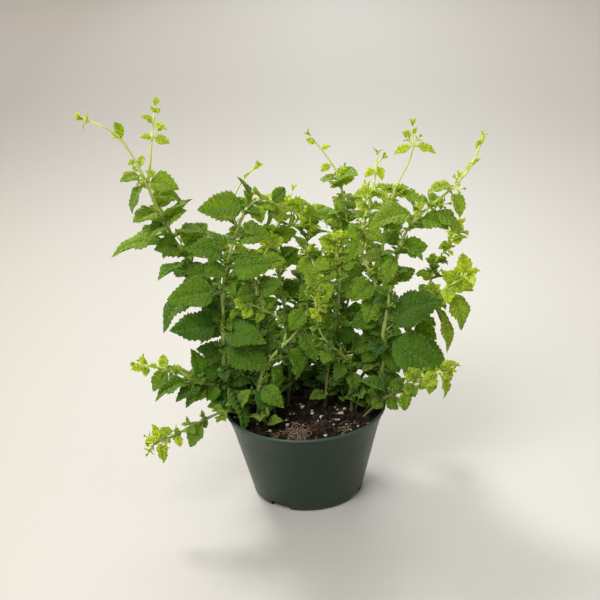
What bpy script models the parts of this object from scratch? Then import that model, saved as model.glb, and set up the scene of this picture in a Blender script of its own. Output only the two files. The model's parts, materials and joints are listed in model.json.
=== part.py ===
"""Potted mint plant: a small nursery pot, its soil, branching mint stems and their leaves.

Metres, +Z up. The origin is the middle of the flat underside of the pot, and +Z is the pot's axis.
The plant's tables are in millimetres, measured from the same origin, and MM turns them into metres.
"""

from collections import namedtuple
from math import cos, pi, radians, sin

import bmesh
import bpy
from mathutils import Matrix, Vector, noise

MM = 0.001

# Pot, a shallow 4.5 inch nursery pot of thin plastic
RIM_RADIUS = 57.5 * MM
POT_HEIGHT = 66.0 * MM
STEP_RADIUS = 52.0 * MM
STEP_HEIGHT = 51.5 * MM
BASE_RADIUS = 40.0 * MM
FOOT_RADIUS = 36.5 * MM
FOOT_HEIGHT = 4.0 * MM
WALL = 1.4 * MM
FLOOR = 1.8 * MM
LIP = 2.2 * MM
POT_SEGMENTS = 44
DRAIN_SLOTS = 4
DRAIN_WIDTH = 15.0 * MM
DRAIN_HEIGHT = 4.6 * MM
DRAIN_DEPTH = 24.0 * MM
FIRST_DRAIN = radians(238.0)

# Soil, filled to just under the rim
SOIL_TOP = 59.0 * MM
SOIL_LUMPS = 1.6 * MM
SOIL_SEGMENTS = 32
SOIL_RINGS = 4
ROOT_DEPTH = 11.0 * MM
GAP = 0.3 * MM

# Stems, square as mint's are, and leaves
STEM_SIDES = 4
STEM_STEP = 12.0 * MM
PETIOLE = 0.6 * MM
PETIOLE_SHARE = 0.16
BLADE_THICKNESS = 1.0 * MM
BLADE_ARCH = 0.07
BLADE_FOLD = 0.16
BIG_LEAF = 26.5 * MM
BIG_STATIONS = (0.10, 0.28, 0.50, 0.74)
SMALL_STATIONS = (0.22, 0.62)

Shoot = namedtuple("Shoot", "parent fork thick route leaves")
Leaf = namedtuple("Leaf", "at reach width roll")

# Each shoot: the shoot that it forks from and where, its radius at the foot and the tip, its route, and its leaves.
# Each leaf: where on the shoot it grows, from 0 at the foot to 1 at the tip, the step from there to its tip,
# its width, and how many degrees its blade rolls about its own length.
SHOOTS = {
    "front_left": Shoot(
        None,
        0.0,
        (1.7, 0.8),
        [(-43, 2, 61), (-56, 0, 78), (-55, -6, 112), (-53, -10, 151), (-48, -12, 180), (-40, -11, 202),
         (-32, -8, 217), (-23, -2, 218), (-5, 10, 208), (16, 22, 195)],
        [
            Leaf(0.73, (-32, -10, 2), 20, -55),
            Leaf(0.72, (-1, -1, 13), 8, -75),
            Leaf(0.74, (6, -8, -11), 11, 25),
            Leaf(0.78, (8, -6, -4), 7, 45),
            Leaf(0.81, (7, -6, -11), 9, 25),
            Leaf(0.56, (-24, -12, 12), 18, -45),
            Leaf(0.61, (24, -10, 6), 16, 35),
            Leaf(0.52, (30, -12, 9), 20, 55),
            Leaf(0.53, (-13, -14, 0), 14, -50),
            Leaf(0.48, (7, -12, -5), 10, 20),
            Leaf(0.45, (-35, -14, 2), 22, -45),
            Leaf(0.44, (25, 9, -8), 17, 35),
            Leaf(0.33, (-33, -16, 6), 23, -40),
            Leaf(0.29, (29, -18, -14), 25, 40),
            Leaf(0.32, (27, -22, 1), 21, 30),
            Leaf(0.42, (-15, 8, -18), 15, -85),
            Leaf(0.25, (-14, -10, -4), 11, -45),
            Leaf(0.13, (14, -31, -21), 24, -40),
            Leaf(0.11, (-6, -8, -14), 10, 0),
            Leaf(0.12, (18, -4, -11), 16, 40),
        ],
    ),
    "curl_left": Shoot(
        "front_left",
        0.699,
        (0.8, 0.5),
        [(-41, -8, 222), (-37, -4, 231), (-29, 0, 239)],
        [
            Leaf(1.00, (7, -4, -6), 6, 35),
            Leaf(0.76, (-5, -4, -3), 5, -45),
        ],
    ),
    "left_arch": Shoot(
        None,
        0.0,
        (1.6, 0.7),
        [(-32, 20, 61), (-42, 24, 82), (-54, 20, 120), (-65, 12, 157), (-80, 4, 183), (-89, -3, 208),
         (-97, -10, 233), (-103, -16, 253), (-111, -22, 270), (-120, -27, 280), (-129, -30, 285)],
        [
            Leaf(1.00, (-10, -4, -3), 7, -25),
            Leaf(0.90, (-5, -4, -7), 6, -20),
            Leaf(0.89, (17, -3, 5), 11, 25),
            Leaf(0.83, (-4, -3, -2), 4, -55),
            Leaf(0.80, (2, 6, 8), 6, -5),
            Leaf(0.78, (-14, -8, -1), 10, -25),
            Leaf(0.76, (-11, -6, -19), 14, 0),
            Leaf(0.73, (-8, 4, 6), 6, -5),
            Leaf(0.76, (22, -8, -3), 14, 50),
            Leaf(0.71, (20, 4, -4), 13, 25),
            Leaf(0.66, (-14, -6, 1), 9, -25),
            Leaf(0.62, (14, -8, 12), 12, 55),
            Leaf(0.62, (-11, -10, 0), 9, -45),
            Leaf(0.55, (-41, -12, 2), 26, 0),
            Leaf(0.54, (-13, -18, 6), 17, -65),
            Leaf(0.49, (11, -12, -12), 13, 25),
            Leaf(0.40, (-21, 10, -6), 14, -35),
            Leaf(0.39, (-33, -14, -24), 26, 0),
        ],
    ),
    "left_fork": Shoot(
        "left_arch",
        0.747,
        (1.0, 0.6),
        [(-96, 0, 245), (-95, 10, 257), (-92, 20, 277)],
        [
            Leaf(0.67, (-7, -5, 2), 5, -50),
            Leaf(0.67, (12, -2, -4), 8, 35),
            Leaf(0.85, (-7, -4, 6), 6, -50),
            Leaf(0.85, (9, -3, -4), 6, 25),
            Leaf(1.00, (-2, -2, 5), 3, -110),
            Leaf(1.00, (4, 2, 2), 4, 70),
        ],
    ),
    "left_side": Shoot(
        "front_left",
        0.127,
        (1.0, 0.6),
        [(-70, -8, 88), (-76, -12, 93), (-88, -16, 103), (-100, -18, 107), (-111, -20, 110)],
        [
            Leaf(1.00, (-8, -4, -1), 6, -50),
            Leaf(0.97, (1, -5, -6), 6, -10),
            Leaf(1.00, (-2, 2, 6), 4, -15),
            Leaf(0.82, (-6, -3, 3), 4, -60),
            Leaf(0.76, (0, 4, 9), 7, 10),
            Leaf(0.69, (-13, -6, -13), 12, -35),
            Leaf(0.47, (-8, 4, 5), 6, -25),
            Leaf(0.36, (-1, 2, 23), 14, 25),
            Leaf(0.22, (8, 3, 14), 12, 50),
            Leaf(0.58, (-4, -4, 6), 7, -105),
            Leaf(0.36, (-27, -8, -10), 18, -5),
            Leaf(0.22, (-21, -14, -4), 15, -10),
            Leaf(0.16, (-19, -10, -11), 15, -15),
            Leaf(0.12, (-2, -12, -8), 12, -5),
        ],
    ),
    "left_low": Shoot(
        None,
        0.0,
        (1.0, 0.7),
        [(-42, -15, 61), (-51, -22, 74), (-62, -27, 73), (-78, -33, 69), (-93, -36, 62),
         (-104, -38, 60)],
        [
            Leaf(0.49, (-14, -4, -19), 15, -25),
            Leaf(0.80, (3, -5, -7), 6, 10),
            Leaf(0.80, (1, 3, 4), 4, 25),
            Leaf(0.83, (-9, 4, 5), 7, -35),
            Leaf(0.90, (3, -3, -2), 4, 25),
            Leaf(1.00, (-2, 3, 12), 8, 20),
            Leaf(1.00, (-8, -4, 2), 6, -35),
            Leaf(1.00, (5, -6, -14), 10, -15),
        ],
    ),
    "front_centre": Shoot(
        None,
        0.0,
        (1.4, 0.8),
        [(-34, -16, 61), (-32, -18, 79), (-31, -18, 92), (-24, -18, 108), (-14, -16, 118),
         (-3, -12, 128), (5, -8, 144), (10, -4, 161), (9, 2, 177)],
        [
            Leaf(0.22, (4, -14, -17), 14, 0),
            Leaf(0.23, (15, -14, -12), 14, 50),
            Leaf(0.37, (4, 8, -28), 17, 90),
            Leaf(0.49, (10, 6, -29), 19, 65),
            Leaf(0.49, (-20, 8, -4), 13, -45),
            Leaf(0.58, (-12, 4, -6), 8, -65),
            Leaf(0.59, (13, -8, -21), 16, 20),
            Leaf(0.72, (-13, -10, -12), 13, -35),
            Leaf(0.72, (16, -10, -12), 15, 40),
            Leaf(0.84, (-10, -12, -5), 13, -35),
            Leaf(0.84, (13, -10, -4), 13, 45),
            Leaf(0.97, (-12, -8, -3), 11, -50),
            Leaf(0.97, (11, -8, -3), 11, 55),
        ],
    ),
    "centre_arch": Shoot(
        "front_centre",
        0.487,
        (1.0, 0.6),
        [(-11, -14, 130), (-16, -14, 138), (-25, -16, 145), (-36, -18, 152)],
        [
            Leaf(0.71, (-6, -6, -6), 6, -35),
            Leaf(1.00, (-10, -4, 4), 9, -75),
            Leaf(0.95, (-5, -6, -8), 9, -40),
        ],
    ),
    "centre_back": Shoot(
        None,
        0.0,
        (1.3, 0.7),
        [(-12, 14, 61), (-9, 18, 98), (-11, 20, 124), (-13, 22, 144), (-16, 24, 165), (-18, 28, 180),
         (-9, 34, 197), (-4, 40, 208)],
        [
            Leaf(0.54, (-14, 4, 7), 12, -65),
            Leaf(0.54, (13, -4, 6), 12, 75),
            Leaf(0.68, (-10, 6, 10), 12, -55),
            Leaf(0.68, (16, -4, 10), 14, 70),
            Leaf(0.78, (-11, 2, 10), 11, -55),
            Leaf(0.80, (16, -6, 5), 13, 65),
            Leaf(0.93, (15, 2, 6), 10, 40),
            Leaf(0.93, (-9, 2, 7), 9, -55),
        ],
    ),
    "right_front": Shoot(
        None,
        0.0,
        (1.2, 0.7),
        [(33, -4, 61), (33, -4, 87), (29, -9, 104), (17, -16, 119), (11, -22, 135), (10, -26, 154),
         (12, -28, 167)],
        [
            Leaf(0.90, (12, -6, 12), 14, 75),
            Leaf(1.00, (-9, -2, 13), 12, -75),
            Leaf(0.53, (-6, -6, -11), 11, -40),
            Leaf(0.37, (-8, -6, -13), 10, -35),
            Leaf(0.29, (4, -8, -16), 11, 0),
        ],
    ),
    "right_tall": Shoot(
        None,
        0.0,
        (1.4, 0.7),
        [(40, 13, 61), (52, 6, 89), (54, 2, 112), (55, -2, 136), (52, -4, 152), (49, -4, 164),
         (42, -2, 179), (44, 5, 194), (49, 13, 207), (54, 20, 223), (56, 25, 235)],
        [
            Leaf(1.00, (4, -4, -10), 7, 10),
            Leaf(0.97, (-8, -4, -4), 6, -40),
            Leaf(0.88, (-13, -5, 0), 8, -35),
            Leaf(0.88, (12, -5, -4), 8, 25),
            Leaf(0.81, (-7, 3, 6), 6, -40),
            Leaf(0.75, (-11, -9, -3), 11, -50),
            Leaf(0.74, (14, -8, -5), 11, 50),
            Leaf(0.70, (-8, -10, -9), 11, -25),
            Leaf(0.65, (14, -10, -1), 11, 40),
            Leaf(0.54, (-16, -12, -8), 15, -40),
            Leaf(0.49, (-9, -12, -17), 14, -20),
            Leaf(0.41, (-21, -10, -5), 16, -50),
            Leaf(0.38, (13, 6, 11), 14, 50),
            Leaf(0.29, (-21, 4, -11), 14, -45),
            Leaf(0.26, (-13, -6, -9), 12, -45),
            Leaf(0.23, (8, -8, -12), 12, 65),
        ],
    ),
    "right_arch": Shoot(
        None,
        0.0,
        (1.6, 0.7),
        [(45, -4, 61), (56, -5, 94), (56, -9, 120), (59, -12, 140), (64, -16, 172), (68, -18, 189),
         (76, -20, 205), (87, -23, 216), (100, -26, 228), (112, -28, 242), (119, -28, 259)],
        [
            Leaf(0.83, (7, -6, -17), 12, 10),
            Leaf(0.85, (-18, -5, -1), 11, -20),
            Leaf(0.71, (-32, -10, -2), 20, -25),
            Leaf(0.75, (19, -6, -18), 16, 15),
            Leaf(0.70, (2, 4, 10), 7, -15),
            Leaf(0.61, (-13, 6, 4), 10, -55),
            Leaf(0.59, (18, -4, 1), 14, 70),
            Leaf(0.56, (-8, -8, -16), 12, -10),
            Leaf(0.90, (2, 2, 9), 6, 0),
            Leaf(0.92, (8, -4, -4), 6, 45),
            Leaf(0.97, (-6, -2, 6), 5, -70),
            Leaf(0.99, (7, -2, 4), 5, 60),
            Leaf(1.00, (1, 0, 7), 4, 55),
            Leaf(0.37, (8, -9, -8), 8, 25),
            Leaf(0.32, (35, -12, 20), 25, 55),
            Leaf(0.28, (38, -16, -20), 28, 50),
            Leaf(0.24, (10, -10, -17), 14, 35),
        ],
    ),
    "right_back": Shoot(
        None,
        0.0,
        (1.3, 0.6),
        [(28, 26, 61), (46, 32, 91), (55, 40, 126), (60, 46, 159), (65, 50, 190), (74, 54, 212),
         (83, 57, 229), (84, 60, 245)],
        [
            Leaf(1.00, (-8, -2, 3), 5, -50),
            Leaf(1.00, (3, 2, 6), 4, 15),
            Leaf(0.95, (-14, -4, -4), 9, -20),
            Leaf(0.95, (16, -4, -4), 10, 20),
            Leaf(0.76, (10, -4, 7), 8, 50),
            Leaf(0.76, (22, -6, -6), 14, 15),
            Leaf(0.76, (-9, 2, 8), 8, -30),
            Leaf(0.69, (-16, -6, -7), 11, -40),
            Leaf(0.63, (14, 6, 1), 10, 55),
        ],
    ),
    "back_mid": Shoot(
        None,
        0.0,
        (1.3, 0.6),
        [(6, 30, 61), (20, 38, 97), (33, 46, 141), (35, 52, 177), (32, 54, 210), (26, 55, 226),
         (14, 56, 243)],
        [
            Leaf(1.00, (-7, -2, 4), 5, -60),
            Leaf(0.96, (7, -2, 2), 4, 60),
            Leaf(0.89, (-8, -4, -4), 6, -45),
            Leaf(0.83, (11, -4, 1), 9, 60),
            Leaf(0.78, (-2, -6, -17), 11, 25),
            Leaf(0.69, (-8, -12, -14), 13, -85),
            Leaf(0.63, (-24, -6, 15), 17, -25),
            Leaf(0.51, (-20, -8, 4), 15, -60),
            Leaf(0.49, (10, -8, -10), 13, 50),
        ],
    ),
    "right_low": Shoot(
        None,
        0.0,
        (1.0, 0.6),
        [(40, -17, 61), (55, -20, 77), (66, -26, 85), (78, -32, 95), (90, -38, 103), (98, -40, 107)],
        [
            Leaf(0.28, (-9, -4, -5), 9, -55),
            Leaf(0.28, (10, -4, -7), 8, 45),
            Leaf(0.28, (-2, 0, 21), 13, -25),
            Leaf(0.35, (-21, -3, 15), 15, -15),
            Leaf(0.35, (10, -3, 14), 10, 50),
            Leaf(0.51, (1, -5, -15), 10, -5),
            Leaf(0.49, (9, -6, 4), 9, 70),
            Leaf(0.68, (-10, 2, 9), 11, -75),
            Leaf(0.88, (-11, -6, -6), 11, -50),
            Leaf(0.90, (5, -4, -18), 12, -10),
            Leaf(0.91, (11, 2, 6), 10, 60),
            Leaf(1.00, (1, -3, -6), 5, 30),
        ],
    ),
    "right_side": Shoot(
        None,
        0.0,
        (1.2, 0.7),
        [(44, 4, 61), (67, 4, 101), (77, 2, 124), (91, 0, 141), (102, -6, 153), (114, -12, 163)],
        [
            Leaf(1.00, (7, -3, 6), 7, 80),
            Leaf(0.99, (2, -5, -9), 8, 15),
            Leaf(0.91, (5, 3, 12), 8, 10),
            Leaf(0.91, (-9, 2, 8), 8, -60),
            Leaf(0.84, (18, -6, 2), 11, 25),
            Leaf(0.81, (-2, -6, -10), 8, 0),
            Leaf(0.85, (10, -8, -27), 18, 10),
            Leaf(0.73, (-8, 6, 10), 10, -40),
            Leaf(0.73, (10, -10, -34), 22, -25),
            Leaf(0.54, (18, -6, -9), 14, 50),
            Leaf(0.44, (29, -8, -17), 21, 20),
        ],
    ),
    "centre_left": Shoot(
        None,
        0.0,
        (1.2, 0.7),
        [(-22, -4, 61), (-29, -4, 109), (-30, -9, 137), (-30, -14, 159), (-25, -16, 180),
         (-19, -14, 192)],
        [
            Leaf(0.57, (-12, -6, 9), 11, -40),
            Leaf(0.57, (14, -4, -5), 10, 50),
            Leaf(0.74, (-13, -10, 0), 13, -65),
            Leaf(0.74, (18, -8, 8), 14, 65),
            Leaf(0.90, (-8, 1, 9), 9, -80),
            Leaf(0.90, (16, -6, 2), 12, 60),
            Leaf(0.98, (-7, -1, 12), 9, -70),
            Leaf(0.98, (11, 2, 5), 8, 55),
        ],
    ),
    "centre_right": Shoot(
        None,
        0.0,
        (1.2, 0.7),
        [(14, 4, 61), (19, 6, 102), (24, 4, 129), (27, 0, 151), (27, 0, 172), (24, 4, 186)],
        [
            Leaf(0.46, (-17, -4, -6), 13, -50),
            Leaf(0.46, (17, -6, -4), 14, 55),
            Leaf(0.68, (-17, -8, 0), 15, -65),
            Leaf(0.68, (14, -6, 11), 13, 70),
            Leaf(0.85, (-14, -8, -6), 11, -45),
            Leaf(0.86, (13, -6, 7), 11, 70),
            Leaf(0.97, (-11, -4, 7), 11, -75),
            Leaf(0.98, (12, -2, 9), 10, 65),
        ],
    ),
    "right_twig": Shoot(
        "right_side",
        0.706,
        (0.9, 0.5),
        [(91, 10, 152), (96, 18, 162), (106, 26, 171), (113, 32, 181)],
        [
            Leaf(0.28, (-8, -2, 7), 6, -75),
            Leaf(0.47, (-7, -2, 6), 6, -70),
            Leaf(0.51, (5, -2, 5), 6, 85),
            Leaf(0.77, (-8, -3, -1), 5, -45),
            Leaf(0.81, (8, -2, 4), 6, 65),
            Leaf(1.00, (2, 0, 8), 6, 65),
        ],
    ),
    "back_left": Shoot(
        None,
        0.0,
        (1.3, 0.7),
        [(-22, 36, 61), (-30, 52, 92), (-38, 68, 124), (-42, 82, 150)],
        [
            Leaf(0.25, (23, 16, 3), 18, -35),
            Leaf(0.25, (-27, -9, 3), 18, -10),
            Leaf(0.46, (10, -17, 18), 17, -5),
            Leaf(0.46, (-12, 21, -8), 16, -25),
            Leaf(0.67, (-20, -3, 3), 13, -10),
            Leaf(0.67, (19, 9, 6), 13, -10),
            Leaf(0.88, (-3, 13, -3), 8, -5),
            Leaf(0.88, (3, -9, 10), 8, -10),
            Leaf(1.00, (5, 5, 6), 6, 0),
            Leaf(1.00, (-7, 2, 6), 6, 0),
        ],
    ),
    "back_left_low": Shoot(
        None,
        0.0,
        (1.3, 0.7),
        [(-34, 27, 61), (-46, 46, 76), (-50, 66, 86), (-50, 86, 88)],
        [
            Leaf(0.34, (19, 17, -6), 16, 15),
            Leaf(0.34, (-23, -7, 3), 15, 5),
            Leaf(0.59, (-2, -4, 20), 13, -20),
            Leaf(0.59, (1, 13, -16), 13, 10),
            Leaf(0.84, (-13, 4, 0), 9, -5),
            Leaf(0.84, (15, 4, 1), 9, -5),
            Leaf(1.00, (0, 7, -6), 6, 0),
            Leaf(1.00, (0, 6, 6), 6, 0),
        ],
    ),
    "back_centre": Shoot(
        None,
        0.0,
        (1.3, 0.7),
        [(-4, 42, 61), (-4, 60, 90), (2, 80, 116), (8, 98, 132)],
        [
            Leaf(0.25, (25, 7, 0), 16, 15),
            Leaf(0.25, (-27, 0, -6), 17, -5),
            Leaf(0.46, (-4, -17, 20), 16, 0),
            Leaf(0.46, (6, 24, -12), 17, -20),
            Leaf(0.67, (-18, 9, 5), 13, -5),
            Leaf(0.67, (21, -2, 3), 13, 10),
            Leaf(0.88, (7, 10, -8), 9, 5),
            Leaf(0.88, (-5, -4, 14), 9, -10),
            Leaf(1.00, (7, 2, 5), 6, 0),
            Leaf(1.00, (-3, 8, 3), 6, 0),
        ],
    ),
    "back_right": Shoot(
        None,
        0.0,
        (1.3, 0.7),
        [(20, 38, 61), (28, 54, 92), (38, 70, 126), (44, 84, 152)],
        [
            Leaf(0.28, (22, -14, 6), 17, 25),
            Leaf(0.28, (-17, 18, 0), 15, 5),
            Leaf(0.48, (-10, -17, 17), 16, -15),
            Leaf(0.48, (13, 22, -8), 16, 0),
            Leaf(0.68, (-14, 15, 2), 12, -5),
            Leaf(0.68, (17, -11, 7), 13, 25),
            Leaf(0.88, (5, 14, -4), 10, 20),
            Leaf(0.88, (-3, -9, 10), 8, 5),
            Leaf(1.00, (7, 1, 6), 6, 0),
            Leaf(1.00, (-4, 5, 6), 6, 0),
        ],
    ),
    "back_right_low": Shoot(
        None,
        0.0,
        (1.3, 0.7),
        [(34, 25, 61), (50, 42, 76), (58, 62, 86), (62, 82, 86)],
        [
            Leaf(0.34, (24, -13, 4), 17, 0),
            Leaf(0.34, (-15, 20, -2), 16, -20),
            Leaf(0.59, (0, -3, 21), 13, -25),
            Leaf(0.59, (3, 12, -16), 12, 25),
            Leaf(0.84, (-13, 6, -1), 9, -5),
            Leaf(0.84, (16, 1, 1), 10, 20),
            Leaf(1.00, (2, 6, -6), 6, 0),
            Leaf(1.00, (1, 7, 5), 6, 0),
        ],
    ),
    "back_upper": Shoot(
        None,
        0.0,
        (1.3, 0.7),
        [(-8, 28, 61), (-4, 44, 105), (4, 58, 150), (10, 66, 186)],
        [
            Leaf(0.30, (24, -7, 4), 16, -5),
            Leaf(0.30, (-23, 11, 3), 16, 25),
            Leaf(0.50, (-12, -17, 13), 15, -10),
            Leaf(0.50, (13, 20, -4), 15, -20),
            Leaf(0.70, (-17, 8, 6), 12, -25),
            Leaf(0.70, (19, -6, 4), 13, 15),
            Leaf(0.90, (9, 8, 1), 7, -15),
            Leaf(0.90, (-9, -8, 7), 9, -5),
            Leaf(1.00, (5, -3, 7), 6, 0),
            Leaf(1.00, (-3, 6, 6), 6, 0),
        ],
    ),
}


def millimetres(values):
    """A point or a step of the plant's tables, in metres."""
    return Vector(values) * MM


def resample(line, step):
    """The same line, with its points about one step apart."""
    spans = [(b - a).length for a, b in zip(line, line[1:])]
    total = sum(spans)
    count = max(2, round(total / step))
    even = [line[0]]
    walked = 0.0
    span = 0
    for k in range(1, count):
        target = total * k / count
        while walked + spans[span] < target:
            walked += spans[span]
            span += 1
        even.append(line[span].lerp(line[span + 1], (target - walked) / spans[span]))
    even.append(line[-1])
    return even


def smooth_route(points, step):
    """A Catmull-Rom curve through a route's own points."""
    ends = [2 * points[0] - points[1], *points, 2 * points[-1] - points[-2]]
    fine = []
    for a, b, c, d in zip(ends, ends[1:], ends[2:], ends[3:]):
        for k in range(12):
            t = k / 12
            bend = (2 * a - 5 * b + 4 * c - d) * t * t + (3 * b - a - 3 * c + d) * t ** 3
            fine.append((2 * b + (c - a) * t + bend) * 0.5)
    fine.append(points[-1])
    return resample(fine, step)


def point_at(line, share):
    """The point and the direction at a share of a line of even points."""
    place = min(share, 0.985) * (len(line) - 1)
    k = min(int(place), len(line) - 2)
    return line[k].lerp(line[k + 1], place - k), (line[k + 1] - line[k]).normalized()


def join_rings(bm, rings):
    """One closed skin through rings with the same number of points."""
    rows = [[bm.verts.new(point) for point in ring] for ring in rings]
    count = len(rows[0])
    for low, high in zip(rows, rows[1:]):
        for k in range(count):
            n = (k + 1) % count
            bm.faces.new((low[k], low[n], high[n], high[k]))
    bm.faces.new(reversed(rows[0]))
    bm.faces.new(rows[-1])


def tube_rings(line, thick):
    """Rings of a stem that tapers from thick[0] to thick[1], without twist along its line."""
    rings = []
    side = Vector((1.0, 0.0, 0.0))
    for k, point in enumerate(line):
        ahead = line[min(k + 1, len(line) - 1)] - line[max(k - 1, 0)]
        ahead.normalize()
        side = (side - ahead * side.dot(ahead)).normalized()
        other = ahead.cross(side)
        radius = thick[0] + (thick[1] - thick[0]) * k / (len(line) - 1)
        turns = [2 * pi * n / STEM_SIDES for n in range(STEM_SIDES)]
        rings.append([point + (side * cos(a) + other * sin(a)) * radius for a in turns])
    return rings


def blade_shape(share):
    """Half the width of an ovate blade, 0 at both ends and 1 at its widest."""
    return sin(pi * share ** 0.72) ** 0.85


def leaf_rings(start, reach, width, roll, stations):
    """Rings of a leaf: a thin petiole, then a folded, slightly arched blade that ends in a tip.

    A big leaf has four points to a ring, and a small one three: its two edges and its underside.
    """
    length = reach.length
    along = reach / length
    side = along.cross(Vector((0.0, 0.0, 1.0)))
    side = side.normalized() if side.length > 0.05 else Vector((1.0, 0.0, 0.0))
    side.rotate(Matrix.Rotation(radians(roll), 3, along))
    normal = side.cross(along)
    big = stations is BIG_STATIONS
    thick = BLADE_THICKNESS * (1.0 if big else 2.2)

    def ring(share, half, deep):
        middle = start + reach * share + normal * (BLADE_ARCH * length * sin(pi * share))
        lift = normal * (BLADE_FOLD * half)
        up = normal * (deep / 2)
        edges = [middle - side * half + lift, middle - up, middle + side * half + lift]
        return [*edges, middle + up] if big else edges

    rings = [ring(0.0, PETIOLE, 2 * PETIOLE)]
    if big:
        rings.append(ring(PETIOLE_SHARE, PETIOLE, 2 * PETIOLE))
    for station in stations:
        share = PETIOLE_SHARE + (1 - PETIOLE_SHARE) * station
        rings.append(ring(share, width / 2 * blade_shape(station), thick))
    rings.append(ring(1.0, 0.25 * MM, 0.4 * MM))
    return rings


def closed_mesh(name, rings):
    bm = bmesh.new()
    join_rings(bm, rings)
    bmesh.ops.recalc_face_normals(bm, faces=bm.faces)
    mesh = bpy.data.meshes.new(name)
    bm.to_mesh(mesh)
    bm.free()
    return mesh


def finish(name, colour, roughness):
    """The object's own material."""
    material = bpy.data.materials.new(name)
    material.use_nodes = True
    shader = material.node_tree.nodes["Principled BSDF"]
    shader.inputs["Base Color"].default_value = (*colour, 1.0)
    shader.inputs["Roughness"].default_value = roughness
    shader.inputs["Metallic"].default_value = 0.0
    return material


def add_piece(name, mesh, colour, roughness):
    """One named sub-part of the plant, with its own material."""
    mesh.materials.append(finish(name, colour, roughness))
    piece = bpy.data.objects.new(name, mesh)
    bpy.context.scene.collection.objects.link(piece)
    return piece


def add_tool(name, mesh, collection):
    """A shape that only takes part in a Boolean, and isn't a piece of its own."""
    tool = bpy.data.objects.new(name, mesh)
    tool.hide_render = True
    tool.display_type = "WIRE"
    collection.objects.link(tool)
    return tool


def tool_collection(name):
    collection = bpy.data.collections.new(name)
    bpy.context.scene.collection.children.link(collection)
    return collection


def add_boolean(piece, operation, collection):
    boolean = piece.modifiers.new(operation.lower(), "BOOLEAN")
    boolean.operation = operation
    boolean.solver = "EXACT"
    boolean.operand_type = "COLLECTION"
    boolean.collection = collection


def spun_mesh(name, profile, segments):
    """A closed body turned about +Z from a profile of (radius, height) that starts and ends at the axis."""
    bm = bmesh.new()
    turns = [2 * pi * k / segments for k in range(segments)]
    low = bm.verts.new((0.0, 0.0, profile[0][1]))
    high = bm.verts.new((0.0, 0.0, profile[-1][1]))
    rows = [[bm.verts.new((r * cos(a), r * sin(a), z)) for a in turns] for r, z in profile[1:-1]]
    for k in range(segments):
        n = (k + 1) % segments
        bm.faces.new((low, rows[0][n], rows[0][k]))
        bm.faces.new((high, rows[-1][k], rows[-1][n]))
        for inner, outer in zip(rows, rows[1:]):
            bm.faces.new((inner[k], inner[n], outer[n], outer[k]))
    bmesh.ops.recalc_face_normals(bm, faces=bm.faces)
    mesh = bpy.data.meshes.new(name)
    bm.to_mesh(mesh)
    bm.free()
    mesh.shade_smooth()
    mesh.set_sharp_from_angle(angle=radians(35))
    return mesh


def inner_radius(height):
    """Radius of the pot's inside at a height above its floor."""
    if height < STEP_HEIGHT:
        share = (height - FOOT_HEIGHT) / (STEP_HEIGHT - FOOT_HEIGHT)
        return BASE_RADIUS + (STEP_RADIUS - BASE_RADIUS) * share - WALL
    share = (height - STEP_HEIGHT) / (POT_HEIGHT - STEP_HEIGHT)
    return STEP_RADIUS + (RIM_RADIUS - LIP / 2 - STEP_RADIUS) * share - WALL


def pot_profile():
    """Outside from the middle of the underside up to the rolled lip, then down the inside to the floor."""
    lip_middle = (RIM_RADIUS - LIP / 2, POT_HEIGHT - LIP / 2)
    lip = []
    for k in range(6):
        angle = -pi / 2 + 1.5 * pi * k / 5
        lip.append((lip_middle[0] + LIP / 2 * cos(angle), lip_middle[1] + LIP / 2 * sin(angle)))
    foot = []
    for k in range(3):
        angle = pi / 2 * k / 2
        spread = (BASE_RADIUS - FOOT_RADIUS) * sin(angle)
        foot.append((FOOT_RADIUS + spread, FOOT_HEIGHT * (1 - cos(angle))))
    outside = [
        (0.0, 0.0),
        *foot,
        (STEP_RADIUS - 0.2 * MM, STEP_HEIGHT - 1.0 * MM),
        (STEP_RADIUS + 0.5 * MM, STEP_HEIGHT),
    ]
    floor_radius = FOOT_RADIUS - 0.5 * MM
    inside = [
        (inner_radius(POT_HEIGHT - 5 * MM), POT_HEIGHT - 5 * MM),
        (inner_radius(STEP_HEIGHT), STEP_HEIGHT),
        (inner_radius(FOOT_HEIGHT + 1 * MM), FOOT_HEIGHT + 1 * MM),
        (floor_radius, FLOOR),
        (0.0, FLOOR),
    ]
    return outside + lip + inside


def make_pot():
    pot = add_piece("pot", spun_mesh("pot", pot_profile(), POT_SEGMENTS), (0.045, 0.075, 0.055), 0.42)
    slots = tool_collection("drain_slots")
    for k in range(DRAIN_SLOTS):
        angle = FIRST_DRAIN + 2 * pi * k / DRAIN_SLOTS
        bm = bmesh.new()
        bmesh.ops.create_cube(bm, size=1.0)
        bmesh.ops.scale(bm, verts=bm.verts, vec=(DRAIN_DEPTH, DRAIN_WIDTH, 2 * DRAIN_HEIGHT))
        bmesh.ops.translate(bm, verts=bm.verts, vec=(BASE_RADIUS, 0.0, 0.0))
        bmesh.ops.rotate(bm, verts=bm.verts, matrix=Matrix.Rotation(angle, 3, "Z"))
        mesh = bpy.data.meshes.new(f"drain_slot_{k + 1}")
        bm.to_mesh(mesh)
        bm.free()
        add_tool(f"drain_slot_{k + 1}", mesh, slots)
    add_boolean(pot, "DIFFERENCE", slots)


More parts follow.
